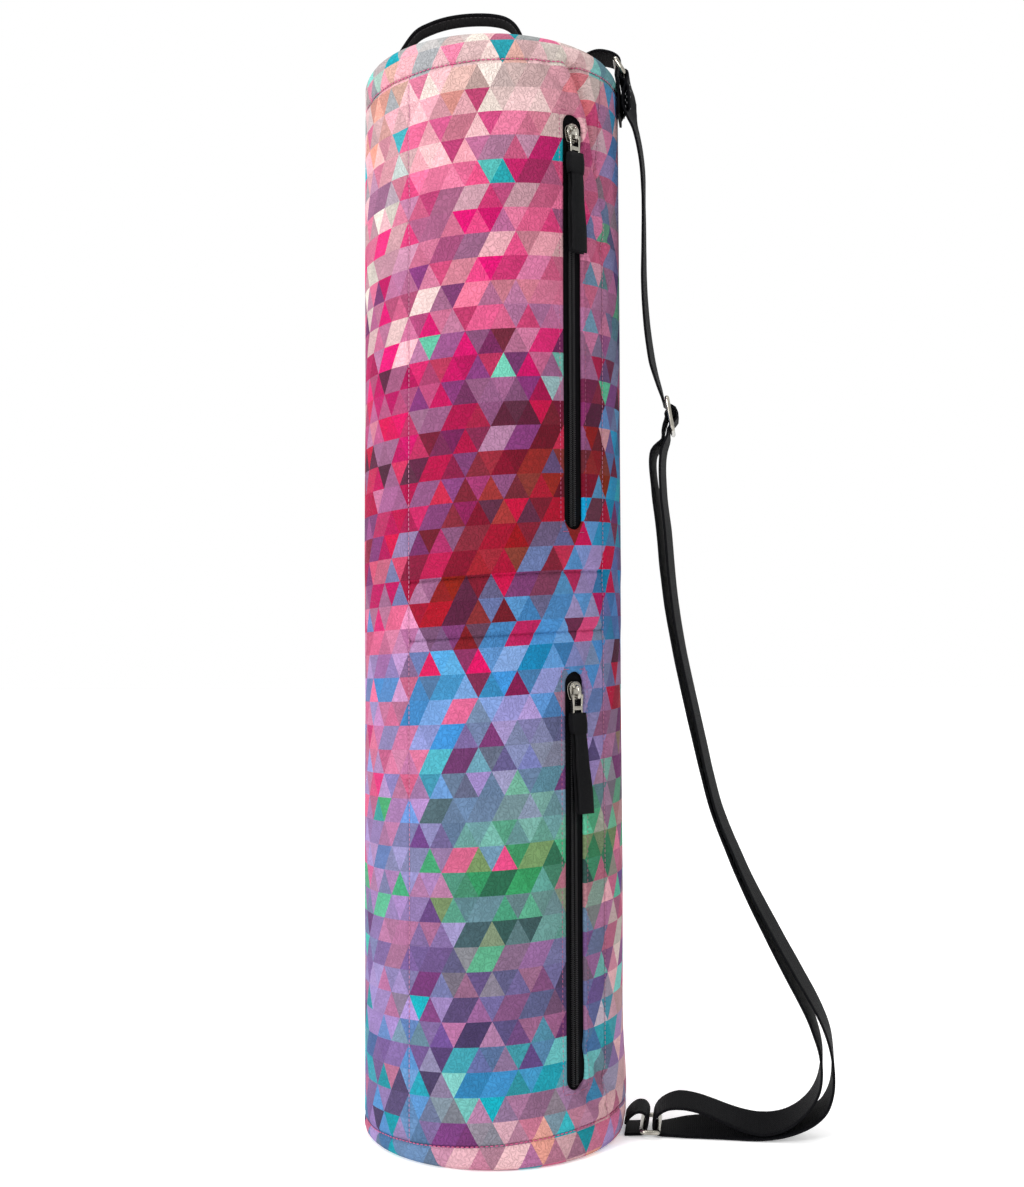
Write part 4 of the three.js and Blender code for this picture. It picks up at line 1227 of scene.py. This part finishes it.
loopUp = loopRadius / mm
upperTabRoute = [
    *beside(onWall, bagHeight, (0, -30), (0, -18), (0, -10.5), (-0.4, -7.5), (-1.6, -4.3), (-0.7, 0.4)),
    *beside(*upperBar.values(), (0.2 + loopUp, 0), (0.6, 0.8 + loopUp), (-5, 6.2), (-12, 7.2), (-20, 4.4)),
    *beside(upperBar["x"], bagHeight + lift, (-27, 2.6), (-34, 0), (-39, 0)),
]
layBand("upper_tab", upperTabRoute, strap, 1.6 * mm)
lowerTabRoute = [
    *beside(onWall, 0, (0.3, 7.6), (3.6, 12)),
    *beside(ringLeft["x"], 0, (-2.6, 15), (1.6, 14.4), (3.6, 11), (3.3, 7.4)),
    *arc(*ringLeft.values(), 10, -90, 4),
    *beside(ringLeft["x"], lift, (-4, 0.4)),
    {"x": onWall, "z": lift},
]
layBand("lower_tab", lowerTabRoute, strap, 1.2 * mm)

# The handle: shares of the radius and of its rise
handleShape = [
    (-0.885, 0), (-0.83, 0.012), (-0.788, 0.12), (-0.71, 0.416), (-0.594, 0.735), (-0.48, 0.86),
    (-0.364, 0.938), (-0.23, 0.985), (-0.09, 1), (0.024, 0.985), (0.109, 0.942), (0.17, 0.86),
    (0.218, 0.72), (0.261, 0.46), (0.301, 0.2), (0.364, 0.034), (0.473, 0),
]
seat = bagHeight + play + handle["thickness"] / 2
handleRoute = [{"x": out * bagRadius, "z": seat + up * handle["rise"]} for out, up in handleShape]
layBand("grab_handle", handleRoute, handle, 2 * mm, crown=0.4 * mm)


def bandStitches(route, band, rows, inset, lift, first, every):
    # Rows of stitches on both faces of a band
    stations = [spot for spot, _ in between(route, 1.0 * mm)]
    turned = Matrix.Rotation(math.radians(band["turn"]), 3, "Z")
    places = []
    for face in (-1, 1):
        for row in rows:
            aside = Vector((0, row * (band["width"] / 2 - inset), 0))
            for k in range(first, len(stations) - 1, every):
                along = (stations[k + 1] - stations[k - 1]).normalized()
                out = along.cross(Vector((0, 1, 0))) * face
                spot = stations[k] + aside + out * (band["thickness"] / 2 + lift)
                places.append((turned @ spot, turned @ along, turned @ out))
    return places


# Stitch rows along both edges of the handle and over the strap's sewn end
rows = bandStitches(handleRoute, handle, (-1, 1), 1.6 * mm, 0.12 * mm, 1, 3)
sewStitches("handle_stitching", rows, "dark", 1.9 * mm, 0.3 * mm)
rows = []
for route in (sewnEnd, ringRun):
    rows += bandStitches(route[:3], strap, (-1, 0, 1), 2.5 * mm, 0.1 * mm, 2, 4)
sewStitches("strap_end_stitching", rows, "grey", 1.5 * mm, 0.3 * mm)

print("stage: metalwork")


def layRing(name, loop, x, z, tilt, bars=()):
    # Wire work in the strap's plane, turned about the bag's axis with it
    turned = Matrix.Rotation(math.radians(strap["turn"]), 4, "Z")
    place = turned @ Matrix.Translation((x, 0, z)) @ Matrix.Rotation(tilt, 4, "Y")
    layWire(name, loop, strap["wire"], nickel, move=place, bars=bars)


ringLoop = roundedLoop(ring["depth"], ring["width"], ring["corner"])
upperTilt = math.atan2(upperBar["z"] - strapBar["z"], strapBar["x"] - upperBar["x"])
upperMiddle = (upperBar["x"] + strapBar["x"]) / 2, (upperBar["z"] + strapBar["z"]) / 2
layRing("upper_ring", ringLoop, *upperMiddle, upperTilt)
layRing("lower_ring", ringLoop, (ringLeft["x"] + ringRight["x"]) / 2, ringLeft["z"], 0)
glideHeight, glideWidth = glide["height"] - 2 * strap["wire"], glide["width"] - 2 * strap["wire"]
bar = [Vector((0, y * glideWidth / 2, 0)) for y in (-1, -0.5, 0, 0.5, 1)]
layRing("tri_glide", roundedLoop(glideHeight, glideWidth, ring["corner"]), glide["x"], glide["z"],
        math.radians(90 - glide["lean"]), [bar])

print("stage: floor")
floor = bmesh.new()
bmesh.ops.create_grid(floor, x_segments=1, y_segments=1, size=8)
floorMesh = bpy.data.meshes.new("floor")
floor.to_mesh(floorMesh)
floor.free()
floorMesh.materials.append(floorMaterial())
floorObject = bpy.data.objects.new("floor", floorMesh)
bpy.context.scene.collection.objects.link(floorObject)

print("stage: finish")
